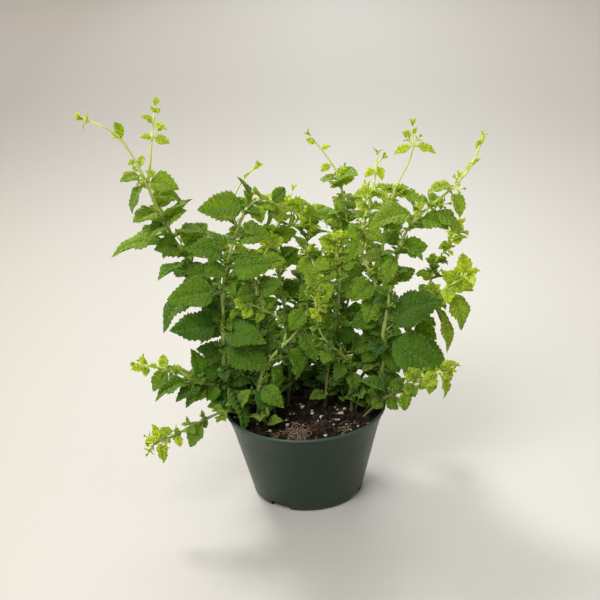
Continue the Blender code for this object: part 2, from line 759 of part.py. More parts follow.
def make_soil(roots):
    """The root ball: it fills the pot inside its wall, lumpy on top, with a socket round each stem."""
    floor = FLOOR + GAP
    profile = [(0.0, floor), (FOOT_RADIUS - 1.5 * MM, floor)]
    for height in (FOOT_HEIGHT + 2 * MM, STEP_HEIGHT, SOIL_TOP - 1.5 * MM):
        profile.append((inner_radius(height) - GAP - 0.3 * MM, height))
    edge = profile[-1][0]
    for k in range(SOIL_RINGS):
        profile.append((edge * (SOIL_RINGS - k) / (SOIL_RINGS + 0.6), SOIL_TOP))
    profile.append((0.0, SOIL_TOP))
    mesh = spun_mesh("soil", profile, SOIL_SEGMENTS)
    for vertex in mesh.vertices:
        if vertex.co.z > SOIL_TOP - 0.1 * MM:
            vertex.co.z += SOIL_LUMPS * noise.noise(vertex.co * 90.0)
    soil = add_piece("soil", mesh, (0.035, 0.022, 0.015), 0.95)
    sockets = tool_collection("root_sockets")
    for name, (root, radius) in roots.items():
        low = root - Vector((0.0, 0.0, ROOT_DEPTH + GAP))
        high = root + Vector((0.0, 0.0, 5 * MM))
        socket = closed_mesh(name + "_socket", tube_rings([low, high], (radius + 0.5 * MM, radius + 0.5 * MM)))
        add_tool(name + "_socket", socket, sockets)
    add_boolean(soil, "DIFFERENCE", sockets)


def leaf_green(share, number):
    """Leaves are darker and bluer low on a shoot, and yellower near its tip."""
    fresh = share ** 2
    tone = 0.9 + 0.2 * ((number * 37) % 10) / 10
    return (tone * (0.07 + 0.14 * fresh), tone * (0.19 + 0.17 * fresh), tone * 0.025)


def leaf_start(point, ahead, reach, radius):
    """Where a separate leaf begins, clear of its stem."""
    along = reach.normalized()
    across = max(0.5, along.cross(ahead).length)
    return point + along * ((radius + PETIOLE + GAP) / across)


def is_big(leaf):
    return millimetres(leaf.reach).length >= BIG_LEAF


def shoot_line(shoot):
    """The middle line of a shoot. A side shoot begins in the middle of the stem that it grows from."""
    route = [millimetres(point) for point in shoot.route]
    if shoot.parent is not None:
        route.insert(0, point_at(shoot_line(SHOOTS[shoot.parent]), shoot.fork)[0])
    return smooth_route(route, STEM_STEP)


def make_shoot(name, shoot):
    """A stem with its side shoots and small leaves in one body, and each big leaf as its own."""
    line = shoot_line(shoot)
    thick = [radius * MM for radius in shoot.thick]
    if shoot.parent is None:
        root = line[0].copy()
        root.z = SOIL_TOP - ROOT_DEPTH
        rings = tube_rings([root, *line], thick)
        add_piece("stem_" + name, closed_mesh(name, rings), (0.20, 0.27, 0.07), 0.6)
        small = tool_collection(name + "_small_growth")
    else:
        small = bpy.data.collections[shoot.parent + "_small_growth"]
        add_tool(name, closed_mesh(name, tube_rings(line, thick)), small)
    for number, leaf in enumerate(shoot.leaves, 1):
        point, ahead = point_at(line, leaf.at)
        reach = millimetres(leaf.reach)
        radius = thick[0] + (thick[1] - thick[0]) * leaf.at
        leaf_name = f"leaf_{name}_{number}"
        if is_big(leaf):
            start = leaf_start(point, ahead, reach, radius)
            rings = leaf_rings(start, reach, leaf.width * MM, leaf.roll, BIG_STATIONS)
            add_piece(leaf_name, closed_mesh(leaf_name, rings), leaf_green(leaf.at, number), 0.55)
        else:
            rings = leaf_rings(point, reach, leaf.width * MM, leaf.roll, SMALL_STATIONS)
            add_tool(leaf_name, closed_mesh(leaf_name, rings), small)


def clear_scene():
    for old in list(bpy.data.objects):
        bpy.data.objects.remove(old, do_unlink=True)


def main():
    clear_scene()
    make_pot()
    roots = {}
    for name, shoot in SHOOTS.items():
        if shoot.parent is None:
            foot = millimetres(shoot.route[0])
            roots[name] = (Vector((foot.x, foot.y, SOIL_TOP)), shoot.thick[0] * MM)
    make_soil(roots)
    for name, shoot in SHOOTS.items():
        make_shoot(name, shoot)
    for name, shoot in SHOOTS.items():
        if shoot.parent is None:
            small = bpy.data.collections[name + "_small_growth"]
            add_boolean(bpy.data.objects["stem_" + name], "UNION", small)


main()
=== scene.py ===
"""Looks of the potted mint plant: its pot, potting soil, stems and quilted leaves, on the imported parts."""

import json
from collections import namedtuple
from math import atan2, cos, hypot, pi, radians, sin

import bmesh
import bpy
import numpy as np
from bpy.props import FloatProperty, FloatVectorProperty, IntProperty, PointerProperty
from mathutils import Matrix, Vector, noise

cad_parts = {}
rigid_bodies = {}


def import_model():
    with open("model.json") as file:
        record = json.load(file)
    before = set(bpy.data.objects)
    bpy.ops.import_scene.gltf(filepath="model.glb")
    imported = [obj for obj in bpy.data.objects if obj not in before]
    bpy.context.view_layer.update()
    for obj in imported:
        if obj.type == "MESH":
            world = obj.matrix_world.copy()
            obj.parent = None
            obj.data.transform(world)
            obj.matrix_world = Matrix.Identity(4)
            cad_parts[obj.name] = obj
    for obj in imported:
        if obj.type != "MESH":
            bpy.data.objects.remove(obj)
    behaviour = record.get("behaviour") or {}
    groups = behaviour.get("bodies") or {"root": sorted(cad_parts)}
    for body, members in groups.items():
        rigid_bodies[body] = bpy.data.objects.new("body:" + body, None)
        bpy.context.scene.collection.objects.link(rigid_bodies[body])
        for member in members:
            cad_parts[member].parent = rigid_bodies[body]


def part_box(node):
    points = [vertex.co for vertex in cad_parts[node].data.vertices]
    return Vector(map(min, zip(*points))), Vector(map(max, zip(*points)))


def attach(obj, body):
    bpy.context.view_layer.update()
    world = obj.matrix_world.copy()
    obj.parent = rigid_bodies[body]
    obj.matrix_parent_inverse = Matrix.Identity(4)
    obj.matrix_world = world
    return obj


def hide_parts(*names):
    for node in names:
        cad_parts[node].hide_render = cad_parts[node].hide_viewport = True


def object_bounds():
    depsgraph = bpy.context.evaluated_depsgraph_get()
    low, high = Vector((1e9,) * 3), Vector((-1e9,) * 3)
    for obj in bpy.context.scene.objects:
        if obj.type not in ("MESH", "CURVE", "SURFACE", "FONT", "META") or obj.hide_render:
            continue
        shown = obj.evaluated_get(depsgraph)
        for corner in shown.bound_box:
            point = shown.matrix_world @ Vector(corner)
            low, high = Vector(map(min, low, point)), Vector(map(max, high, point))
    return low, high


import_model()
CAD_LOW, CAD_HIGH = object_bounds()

bl_info = {
    "name": "Potted Mint",
    "version": (1, 0, 0),
    "blender": (4, 5, 0),
    "location": "View3D > Sidebar > Mint",
    "description": "Builds a mint plant in a nursery pot, with a studio stage",
    "category": "Object",
}

MM = 0.001

# What the parts of the CAD follow, in metres: the step between the points of a stem, the length from which
# a leaf is a node of its own, and how high the stems leave the soil.
CAD_STEM_STEP = 0.012
BIG_LEAF = 0.0265
CAD_SOIL_TOP = 0.0585

# The block that cuts each drain slot, outwards, along the edge and upwards, and where the first slot is.
DRAIN_BLOCK = (24.0 * MM, 15.0 * MM, 9.2 * MM)
FIRST_DRAIN = radians(238.0)

# How high the soil's hills, lumps and grains stand, in millimetres, and how closely they follow each other.
SOIL_WAVES = ((2.0, 60.0), (1.1, 170.0), (0.6, 420.0))

# Which material of a stem piece is the leaf's and which the stem's, and the point that the lights face.
LEAF_SLOT = 0
STEM_SLOT = 1
LIT_POINT = (0.06, -0.04, 0.06)


Shoot = namedtuple("Shoot", "parent fork thick route leaves")
Leaf = namedtuple("Leaf", "at reach width roll")


def lay_out(parent, fork, thick, route, rows):
    """One shoot, with a leaf for each of its rows."""
    leaves = [Leaf(at, (x, y, z), width, roll) for at, x, y, z, width, roll in rows]
    return Shoot(parent, fork, thick, route, leaves)


# Each shoot, in millimetres: the shoot that it forks from and where, its radius at the foot and the tip, its
# route, and its leaves. Each leaf: where on the shoot it grows, from 0 at the foot to 1 at the tip, the step
# from there to its tip along X, Y and Z, its width, and how many degrees its blade rolls about its length.
SHOOTS = {
    "front_left": lay_out(
        None, 0.0, (1.7, 0.8),
        [(-43, 2, 61), (-56, 0, 78), (-55, -6, 112), (-53, -10, 151), (-48, -12, 180), (-40, -11, 202),
         (-32, -8, 217), (-23, -2, 218), (-5, 10, 208), (16, 22, 195)],
        [(0.73, -32, -10, 2, 20, -55), (0.72, -1, -1, 13, 8, -75), (0.74, 6, -8, -11, 11, 25),
         (0.78, 8, -6, -4, 7, 45), (0.81, 7, -6, -11, 9, 25), (0.56, -24, -12, 12, 18, -45),
         (0.61, 24, -10, 6, 16, 35), (0.52, 30, -12, 9, 20, 55), (0.53, -13, -14, 0, 14, -50),
         (0.48, 7, -12, -5, 10, 20), (0.45, -35, -14, 2, 22, -45), (0.44, 25, 9, -8, 17, 35),
         (0.33, -33, -16, 6, 23, -40), (0.29, 29, -18, -14, 25, 40), (0.32, 27, -22, 1, 21, 30),
         (0.42, -15, 8, -18, 15, -85), (0.25, -14, -10, -4, 11, -45), (0.13, 14, -31, -21, 24, -40),
         (0.11, -6, -8, -14, 10, 0), (0.12, 18, -4, -11, 16, 40)],
    ),
    "curl_left": lay_out(
        "front_left", 0.699, (0.8, 0.5),
        [(-41, -8, 222), (-37, -4, 231), (-29, 0, 239)],
        [(1.00, 7, -4, -6, 6, 35), (0.76, -5, -4, -3, 5, -45)],
    ),
    "left_arch": lay_out(
        None, 0.0, (1.6, 0.7),
        [(-32, 20, 61), (-42, 24, 82), (-54, 20, 120), (-65, 12, 157), (-80, 4, 183), (-89, -3, 208),
         (-97, -10, 233), (-103, -16, 253), (-111, -22, 270), (-120, -27, 280), (-129, -30, 285)],
        [(1.00, -10, -4, -3, 7, -25), (0.90, -5, -4, -7, 6, -20), (0.89, 17, -3, 5, 11, 25),
         (0.83, -4, -3, -2, 4, -55), (0.80, 2, 6, 8, 6, -5), (0.78, -14, -8, -1, 10, -25),
         (0.76, -11, -6, -19, 14, 0), (0.73, -8, 4, 6, 6, -5), (0.76, 22, -8, -3, 14, 50),
         (0.71, 20, 4, -4, 13, 25), (0.66, -14, -6, 1, 9, -25), (0.62, 14, -8, 12, 12, 55),
         (0.62, -11, -10, 0, 9, -45), (0.55, -41, -12, 2, 26, 0), (0.54, -13, -18, 6, 17, -65),
         (0.49, 11, -12, -12, 13, 25), (0.40, -21, 10, -6, 14, -35), (0.39, -33, -14, -24, 26, 0)],
    ),
    "left_fork": lay_out(
        "left_arch", 0.747, (1.0, 0.6),
        [(-96, 0, 245), (-95, 10, 257), (-92, 20, 277)],
        [(0.67, -7, -5, 2, 5, -50), (0.67, 12, -2, -4, 8, 35), (0.85, -7, -4, 6, 6, -50),
         (0.85, 9, -3, -4, 6, 25), (1.00, -2, -2, 5, 3, -110), (1.00, 4, 2, 2, 4, 70)],
    ),
    "left_side": lay_out(
        "front_left", 0.127, (1.0, 0.6),
        [(-70, -8, 88), (-76, -12, 93), (-88, -16, 103), (-100, -18, 107), (-111, -20, 110)],
        [(1.00, -8, -4, -1, 6, -50), (0.97, 1, -5, -6, 6, -10), (1.00, -2, 2, 6, 4, -15),
         (0.82, -6, -3, 3, 4, -60), (0.76, 0, 4, 9, 7, 10), (0.69, -13, -6, -13, 12, -35),
         (0.47, -8, 4, 5, 6, -25), (0.36, -1, 2, 23, 14, 25), (0.22, 8, 3, 14, 12, 50),
         (0.58, -4, -4, 6, 7, -105), (0.36, -27, -8, -10, 18, -5), (0.22, -21, -14, -4, 15, -10),
         (0.16, -19, -10, -11, 15, -15), (0.12, -2, -12, -8, 12, -5)],
    ),
    "left_low": lay_out(
        None, 0.0, (1.0, 0.7),
        [(-42, -15, 61), (-51, -22, 74), (-62, -27, 73), (-78, -33, 69), (-93, -36, 62), (-104, -38, 60)],
        [(0.49, -14, -4, -19, 15, -25), (0.80, 3, -5, -7, 6, 10), (0.80, 1, 3, 4, 4, 25),
         (0.83, -9, 4, 5, 7, -35), (0.90, 3, -3, -2, 4, 25), (1.00, -2, 3, 12, 8, 20),
         (1.00, -8, -4, 2, 6, -35), (1.00, 5, -6, -14, 10, -15)],
    ),
    "front_centre": lay_out(
        None, 0.0, (1.4, 0.8),
        [(-34, -16, 61), (-32, -18, 79), (-31, -18, 92), (-24, -18, 108), (-14, -16, 118), (-3, -12, 128),
         (5, -8, 144), (10, -4, 161), (9, 2, 177)],
        [(0.22, 4, -14, -17, 14, 0), (0.23, 15, -14, -12, 14, 50), (0.37, 4, 8, -28, 17, 90),
         (0.49, 10, 6, -29, 19, 65), (0.49, -20, 8, -4, 13, -45), (0.58, -12, 4, -6, 8, -65),
         (0.59, 13, -8, -21, 16, 20), (0.72, -13, -10, -12, 13, -35), (0.72, 16, -10, -12, 15, 40),
         (0.84, -10, -12, -5, 13, -35), (0.84, 13, -10, -4, 13, 45), (0.97, -12, -8, -3, 11, -50),
         (0.97, 11, -8, -3, 11, 55)],
    ),
    "centre_arch": lay_out(
        "front_centre", 0.487, (1.0, 0.6),
        [(-11, -14, 130), (-16, -14, 138), (-25, -16, 145), (-36, -18, 152)],
        [(0.71, -6, -6, -6, 6, -35), (1.00, -10, -4, 4, 9, -75), (0.95, -5, -6, -8, 9, -40)],
    ),
    "centre_back": lay_out(
        None, 0.0, (1.3, 0.7),
        [(-12, 14, 61), (-9, 18, 98), (-11, 20, 124), (-13, 22, 144), (-16, 24, 165), (-18, 28, 180),
         (-9, 34, 197), (-4, 40, 208)],
        [(0.54, -14, 4, 7, 12, -65), (0.54, 13, -4, 6, 12, 75), (0.68, -10, 6, 10, 12, -55),
         (0.68, 16, -4, 10, 14, 70), (0.78, -11, 2, 10, 11, -55), (0.80, 16, -6, 5, 13, 65),
         (0.93, 15, 2, 6, 10, 40), (0.93, -9, 2, 7, 9, -55)],
    ),
    "right_front": lay_out(
        None, 0.0, (1.2, 0.7),
        [(33, -4, 61), (33, -4, 87), (29, -9, 104), (17, -16, 119), (11, -22, 135), (10, -26, 154),
         (12, -28, 167)],
        [(0.90, 12, -6, 12, 14, 75), (1.00, -9, -2, 13, 12, -75), (0.53, -6, -6, -11, 11, -40),
         (0.37, -8, -6, -13, 10, -35), (0.29, 4, -8, -16, 11, 0)],
    ),
    "right_tall": lay_out(
        None, 0.0, (1.4, 0.7),
        [(40, 13, 61), (52, 6, 89), (54, 2, 112), (55, -2, 136), (52, -4, 152), (49, -4, 164),
         (42, -2, 179), (44, 5, 194), (49, 13, 207), (54, 20, 223), (56, 25, 235)],
        [(1.00, 4, -4, -10, 7, 10), (0.97, -8, -4, -4, 6, -40), (0.88, -13, -5, 0, 8, -35),
         (0.88, 12, -5, -4, 8, 25), (0.81, -7, 3, 6, 6, -40), (0.75, -11, -9, -3, 11, -50),
         (0.74, 14, -8, -5, 11, 50), (0.70, -8, -10, -9, 11, -25), (0.65, 14, -10, -1, 11, 40),
         (0.54, -16, -12, -8, 15, -40), (0.49, -9, -12, -17, 14, -20), (0.41, -21, -10, -5, 16, -50),
         (0.38, 13, 6, 11, 14, 50), (0.29, -21, 4, -11, 14, -45), (0.26, -13, -6, -9, 12, -45),
         (0.23, 8, -8, -12, 12, 65)],
    ),
    "right_arch": lay_out(
        None, 0.0, (1.6, 0.7),
        [(45, -4, 61), (56, -5, 94), (56, -9, 120), (59, -12, 140), (64, -16, 172), (68, -18, 189),
         (76, -20, 205), (87, -23, 216), (100, -26, 228), (112, -28, 242), (119, -28, 259)],
        [(0.83, 7, -6, -17, 12, 10), (0.85, -18, -5, -1, 11, -20), (0.71, -32, -10, -2, 20, -25),
         (0.75, 19, -6, -18, 16, 15), (0.70, 2, 4, 10, 7, -15), (0.61, -13, 6, 4, 10, -55),
         (0.59, 18, -4, 1, 14, 70), (0.56, -8, -8, -16, 12, -10), (0.90, 2, 2, 9, 6, 0),
         (0.92, 8, -4, -4, 6, 45), (0.97, -6, -2, 6, 5, -70), (0.99, 7, -2, 4, 5, 60),
         (1.00, 1, 0, 7, 4, 55), (0.37, 8, -9, -8, 8, 25), (0.32, 35, -12, 20, 25, 55),
         (0.28, 38, -16, -20, 28, 50), (0.24, 10, -10, -17, 14, 35)],
    ),
    "right_back": lay_out(
        None, 0.0, (1.3, 0.6),
        [(28, 26, 61), (46, 32, 91), (55, 40, 126), (60, 46, 159), (65, 50, 190), (74, 54, 212),
         (83, 57, 229), (84, 60, 245)],
        [(1.00, -8, -2, 3, 5, -50), (1.00, 3, 2, 6, 4, 15), (0.95, -14, -4, -4, 9, -20),
         (0.95, 16, -4, -4, 10, 20), (0.76, 10, -4, 7, 8, 50), (0.76, 22, -6, -6, 14, 15),
         (0.76, -9, 2, 8, 8, -30), (0.69, -16, -6, -7, 11, -40), (0.63, 14, 6, 1, 10, 55)],
    ),
    "back_mid": lay_out(
        None, 0.0, (1.3, 0.6),
        [(6, 30, 61), (20, 38, 97), (33, 46, 141), (35, 52, 177), (32, 54, 210), (26, 55, 226),
         (14, 56, 243)],
        [(1.00, -7, -2, 4, 5, -60), (0.96, 7, -2, 2, 4, 60), (0.89, -8, -4, -4, 6, -45),
         (0.83, 11, -4, 1, 9, 60), (0.78, -2, -6, -17, 11, 25), (0.69, -8, -12, -14, 13, -85),
         (0.63, -24, -6, 15, 17, -25), (0.51, -20, -8, 4, 15, -60), (0.49, 10, -8, -10, 13, 50)],
    ),
    "right_low": lay_out(
        None, 0.0, (1.0, 0.6),
        [(40, -17, 61), (55, -20, 77), (66, -26, 85), (78, -32, 95), (90, -38, 103), (98, -40, 107)],
        [(0.28, -9, -4, -5, 9, -55), (0.28, 10, -4, -7, 8, 45), (0.28, -2, 0, 21, 13, -25),
         (0.35, -21, -3, 15, 15, -15), (0.35, 10, -3, 14, 10, 50), (0.51, 1, -5, -15, 10, -5),
         (0.49, 9, -6, 4, 9, 70), (0.68, -10, 2, 9, 11, -75), (0.88, -11, -6, -6, 11, -50),
         (0.90, 5, -4, -18, 12, -10), (0.91, 11, 2, 6, 10, 60), (1.00, 1, -3, -6, 5, 30)],
    ),
    "right_side": lay_out(
        None, 0.0, (1.2, 0.7),
        [(44, 4, 61), (67, 4, 101), (77, 2, 124), (91, 0, 141), (102, -6, 153), (114, -12, 163)],
        [(1.00, 7, -3, 6, 7, 80), (0.99, 2, -5, -9, 8, 15), (0.91, 5, 3, 12, 8, 10),
         (0.91, -9, 2, 8, 8, -60), (0.84, 18, -6, 2, 11, 25), (0.81, -2, -6, -10, 8, 0),
         (0.85, 10, -8, -27, 18, 10), (0.73, -8, 6, 10, 10, -40), (0.73, 10, -10, -34, 22, -25),
         (0.54, 18, -6, -9, 14, 50), (0.44, 29, -8, -17, 21, 20)],
    ),
    "centre_left": lay_out(
        None, 0.0, (1.2, 0.7),
        [(-22, -4, 61), (-29, -4, 109), (-30, -9, 137), (-30, -14, 159), (-25, -16, 180),
         (-19, -14, 192)],
        [(0.57, -12, -6, 9, 11, -40), (0.57, 14, -4, -5, 10, 50), (0.74, -13, -10, 0, 13, -65),
         (0.74, 18, -8, 8, 14, 65), (0.90, -8, 1, 9, 9, -80), (0.90, 16, -6, 2, 12, 60),
         (0.98, -7, -1, 12, 9, -70), (0.98, 11, 2, 5, 8, 55)],
    ),
    "centre_right": lay_out(
        None, 0.0, (1.2, 0.7),
        [(14, 4, 61), (19, 6, 102), (24, 4, 129), (27, 0, 151), (27, 0, 172), (24, 4, 186)],
        [(0.46, -17, -4, -6, 13, -50), (0.46, 17, -6, -4, 14, 55), (0.68, -17, -8, 0, 15, -65),
         (0.68, 14, -6, 11, 13, 70), (0.85, -14, -8, -6, 11, -45), (0.86, 13, -6, 7, 11, 70),
         (0.97, -11, -4, 7, 11, -75), (0.98, 12, -2, 9, 10, 65)],
    ),
    "right_twig": lay_out(
        "right_side", 0.706, (0.9, 0.5),
        [(91, 10, 152), (96, 18, 162), (106, 26, 171), (113, 32, 181)],
        [(0.28, -8, -2, 7, 6, -75), (0.47, -7, -2, 6, 6, -70), (0.51, 5, -2, 5, 6, 85),
         (0.77, -8, -3, -1, 5, -45), (0.81, 8, -2, 4, 6, 65), (1.00, 2, 0, 8, 6, 65)],
    ),
    "back_left": lay_out(
        None, 0.0, (1.3, 0.7),
        [(-22, 36, 61), (-30, 52, 92), (-38, 68, 124), (-42, 82, 150)],
        [(0.25, 23, 16, 3, 18, -35), (0.25, -27, -9, 3, 18, -10), (0.46, 10, -17, 18, 17, -5),
         (0.46, -12, 21, -8, 16, -25), (0.67, -20, -3, 3, 13, -10), (0.67, 19, 9, 6, 13, -10),
         (0.88, -3, 13, -3, 8, -5), (0.88, 3, -9, 10, 8, -10), (1.00, 5, 5, 6, 6, 0),
         (1.00, -7, 2, 6, 6, 0)],
    ),
    "back_left_low": lay_out(
        None, 0.0, (1.3, 0.7),
        [(-34, 27, 61), (-46, 46, 76), (-50, 66, 86), (-50, 86, 88)],
        [(0.34, 19, 17, -6, 16, 15), (0.34, -23, -7, 3, 15, 5), (0.59, -2, -4, 20, 13, -20),
         (0.59, 1, 13, -16, 13, 10), (0.84, -13, 4, 0, 9, -5), (0.84, 15, 4, 1, 9, -5),
         (1.00, 0, 7, -6, 6, 0), (1.00, 0, 6, 6, 6, 0)],
    ),
    "back_centre": lay_out(
        None, 0.0, (1.3, 0.7),
        [(-4, 42, 61), (-4, 60, 90), (2, 80, 116), (8, 98, 132)],
        [(0.25, 25, 7, 0, 16, 15), (0.25, -27, 0, -6, 17, -5), (0.46, -4, -17, 20, 16, 0),
         (0.46, 6, 24, -12, 17, -20), (0.67, -18, 9, 5, 13, -5), (0.67, 21, -2, 3, 13, 10),
         (0.88, 7, 10, -8, 9, 5), (0.88, -5, -4, 14, 9, -10), (1.00, 7, 2, 5, 6, 0),
         (1.00, -3, 8, 3, 6, 0)],
    ),
    "back_right": lay_out(
        None, 0.0, (1.3, 0.7),
        [(20, 38, 61), (28, 54, 92), (38, 70, 126), (44, 84, 152)],
        [(0.28, 22, -14, 6, 17, 25), (0.28, -17, 18, 0, 15, 5), (0.48, -10, -17, 17, 16, -15),
         (0.48, 13, 22, -8, 16, 0), (0.68, -14, 15, 2, 12, -5), (0.68, 17, -11, 7, 13, 25),
         (0.88, 5, 14, -4, 10, 20), (0.88, -3, -9, 10, 8, 5), (1.00, 7, 1, 6, 6, 0),
         (1.00, -4, 5, 6, 6, 0)],
    ),
    "back_right_low": lay_out(
        None, 0.0, (1.3, 0.7),
        [(34, 25, 61), (50, 42, 76), (58, 62, 86), (62, 82, 86)],
        [(0.34, 24, -13, 4, 17, 0), (0.34, -15, 20, -2, 16, -20), (0.59, 0, -3, 21, 13, -25),
         (0.59, 3, 12, -16, 12, 25), (0.84, -13, 6, -1, 9, -5), (0.84, 16, 1, 1, 10, 20),
         (1.00, 2, 6, -6, 6, 0), (1.00, 1, 7, 5, 6, 0)],
    ),
    "back_upper": lay_out(
        None, 0.0, (1.3, 0.7),
        [(-8, 28, 61), (-4, 44, 105), (4, 58, 150), (10, 66, 186)],
        [(0.30, 24, -7, 4, 16, -5), (0.30, -23, 11, 3, 16, 25), (0.50, -12, -17, 13, 15, -10),
         (0.50, 13, 20, -4, 15, -20), (0.70, -17, 8, 6, 12, -25), (0.70, 19, -6, 4, 13, 15),
         (0.90, 9, 8, 1, 7, -15), (0.90, -9, -8, 7, 9, -5), (1.00, 5, -3, 7, 6, 0),
         (1.00, -3, 6, 6, 6, 0)],
    ),
}

# Perlite chips that show on the bare soil: where each lies, and how wide it is, in millimetres.
PERLITE = [
    (-2, 5, 3.6), (-8, -4, 3.0), (5, -7, 2.6), (25, -5, 3.2), (28, 1, 2.2), (35, -22, 2.8), (28, -26, 2.8),
    (19, -26, 1.4), (13, -38, 2.6), (-25, -30, 2.8), (-13, -23, 2.4), (-14, -16, 1.6), (17, -22, 1.2),
    (10, -16, 1.0), (-4, 10, 1.6), (23, 0, 1.4), (32, -29, 1.6),
]

# Clumps of shredded bark and coir on the soil: where each lies and how far it spreads, in millimetres,
# how many fibres it has and their colour.
CLUMPS = [
    (-6, -42, 3.4, 110, (0.27, 0.195, 0.125)),
    (9, -30, 3.2, 60, (0.085, 0.040, 0.026)),
    (-20, -40, 2.0, 18, (0.20, 0.12, 0.06)),
    (27, -36, 1.8, 18, (0.26, 0.20, 0.12)),
]

# Where the middling leaves grow: the share of the shoot that they begin and end at, then the distance
# from pair to pair and the length of a leaf, in millimetres.
FILL = {
    "front_left": (0.03, 0.95, 9, 19), "left_arch": (0.05, 0.68, 8, 23), "left_side": (0.05, 0.95, 9, 10),
    "left_low": (0.15, 0.98, 10, 9), "front_centre": (0.03, 1.0, 10, 13),
    "centre_arch": (0.2, 1.0, 10, 8), "centre_back": (0.04, 1.0, 9, 16),
    "right_front": (0.02, 1.0, 10, 12), "right_tall": (0.02, 0.9, 10, 17),
    "right_arch": (0.02, 0.76, 10, 18), "right_back": (0.03, 0.80, 10, 18),
    "back_mid": (0.03, 0.85, 9, 18), "right_low": (0.05, 0.98, 9, 12), "right_side": (0.08, 1.0, 8, 15),
    "centre_left": (0.02, 1.0, 9, 15), "centre_right": (0.02, 1.0, 9, 15),
    "right_twig": (0.2, 1.0, 8, 11), "back_left": (0.03, 1.0, 9, 19),
    "back_left_low": (0.03, 1.0, 10, 17), "back_centre": (0.03, 1.0, 8, 20),
    "back_right": (0.03, 1.0, 8, 20), "back_right_low": (0.03, 1.0, 9, 18),
    "back_upper": (0.03, 1.0, 9, 18),
}

# How young the leaves of a shoot are at its foot and at its tip: 0 is old and dark, 1 is young and bright.
YOUTH = {
    "right_side": (0.26, 1.00), "right_twig": (0.34, 1.00), "curl_left": (0.70, 1.00),
    "left_fork": (0.45, 1.00), "left_side": (0.12, 0.80), "left_low": (0.14, 0.80),
    "right_low": (0.16, 0.90), "centre_arch": (0.15, 0.55), "front_centre": (0.06, 0.50),
    "right_front": (0.08, 0.55), "centre_back": (0.12, 1.00), "right_tall": (0.14, 1.00),
    "right_arch": (0.10, 1.00), "right_back": (0.15, 1.00), "centre_left": (0.05, 0.60),
    "centre_right": (0.06, 0.70), "back_left": (0.04, 0.55), "back_left_low": (0.03, 0.45),
    "back_centre": (0.04, 0.55), "back_right": (0.04, 0.60), "back_right_low": (0.03, 0.50),
    "back_upper": (0.06, 0.70), "front_left": (0.08, 0.80),
}

# Shoots whose youngest leaves are still folded along the stem, and the share of the stem where that begins.
CLOSED_TIPS = {"left_arch": 0.86, "right_arch": 0.87, "curl_left": 0.70}

# Low shoots round the feet of the stems: where each leaves the soil, how it leans along X and Y for each unit
# of rise, its height and the length of its leaves, in millimetres.
SPROUTS = {
    "front_left": [(-49, 10, -0.50, -0.50, 26, 19), (-54, 27, -0.90, -0.20, 24, 17)],
    "front_centre": [
        (-40, -10, -0.25, -0.60, 22, 17), (-27, -23, -0.10, -0.55, 14, 13), (-24, 13, 0.20, -0.30, 22, 14),
    ],
    "left_low": [(-47, -3, -0.70, -0.60, 16, 16)],
    "centre_left": [(-13, 26, 0.10, -0.20, 24, 14), (-31, 25, -0.10, -0.20, 26, 16)],
    "centre_right": [(10, 29, 0.10, -0.10, 22, 13), (23, 23, 0.20, -0.20, 22, 14)],
    "right_front": [(35, -4, 0.20, -0.35, 18, 14), (29, 9, -0.15, -0.20, 20, 13)],
    "right_arch": [(47, 6, 0.55, -0.30, 18, 14), (42, -5, 0.35, -0.50, 13, 12)],
    "centre_back": [(-3, 39, 0.00, -0.10, 26, 15)],
}

# Where the palest and most crowded young side shoots stand on a stem, as shares of it.
FRILLS = {
    "right_tall": (0.56, 0.58, 0.61, 0.63, 0.66, 0.69, 0.72),
    "centre_right": (0.86, 0.90, 0.93, 0.96, 0.99),
    "right_front": (0.80, 0.86, 0.92, 0.97),
    "front_left": (0.78, 0.84, 0.90, 0.96),
    "left_arch": (0.36, 0.42, 0.50),
    "centre_back": (0.48, 0.52, 0.56),
}


# ---------------------------------------------------------------- settings


def length(name, description, default):
    """A length setting, in metres."""
    return FloatProperty(name=name, description=description, default=default, unit="LENGTH")


def number(name, description, default):
    """How many there are of something."""
    return IntProperty(name=name, description=description, default=default, min=0)


def paint(name, description, default):
    """A colour setting."""
    return FloatVectorProperty(
        name=name, description=description, default=default, subtype="COLOR", min=0.0, max=1.0
    )


class PotSettings(bpy.types.PropertyGroup):
    """Sizes and colour of the nursery pot."""

    rim_radius: length("Rim Radius", "Outer radius of the rolled lip", 0.0575)
    height: length("Height", "Height from the table to the top of the lip", float(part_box("pot")[1][2]))
    step_radius: length("Step Radius", "Outer radius at the step under the rim band", 0.0520)
    step_height: length("Step Height", "Height of the step under the rim band", 0.0515)
    base_radius: length("Base Radius", "Radius of the wall just above the foot", 0.0400)
    foot_radius: length("Foot Radius", "Radius of the flat underside", 0.0365)
    wall: length("Wall", "Thickness of the plastic", 0.0014)
    lip: length("Lip", "Thickness of the rolled lip", 0.0022)
    colour: paint("Plastic", "Colour of the moulded plastic", (0.014, 0.033, 0.018))


class SoilSettings(bpy.types.PropertyGroup):
    """What the potting soil is made of."""

    top: length("Top", "Height of the soil in the pot", 0.0590)
    radius: length("Radius", "Radius of the soil's surface", 0.0533)
    crumbs: number("Crumbs", "Loose crumbs of peat and bark", 1100)
    chips: number("Chips", "White perlite chips strewn over the soil", 60)
    fibres: number("Fibres", "Fine brown fibres", 90)
    colour: paint("Peat", "Colour of the damp peat", (0.014, 0.0095, 0.0065))


class StemSettings(bpy.types.PropertyGroup):
    """Finish of the square stems."""

    step: length("Step", "Distance between the rings of a stem", 0.0024)
    young: paint("Young Stem", "Colour near the tip of a shoot", (0.80, 0.88, 0.260))
    old: paint("Old Stem", "Colour near the foot of a shoot", (0.26, 0.38, 0.080))


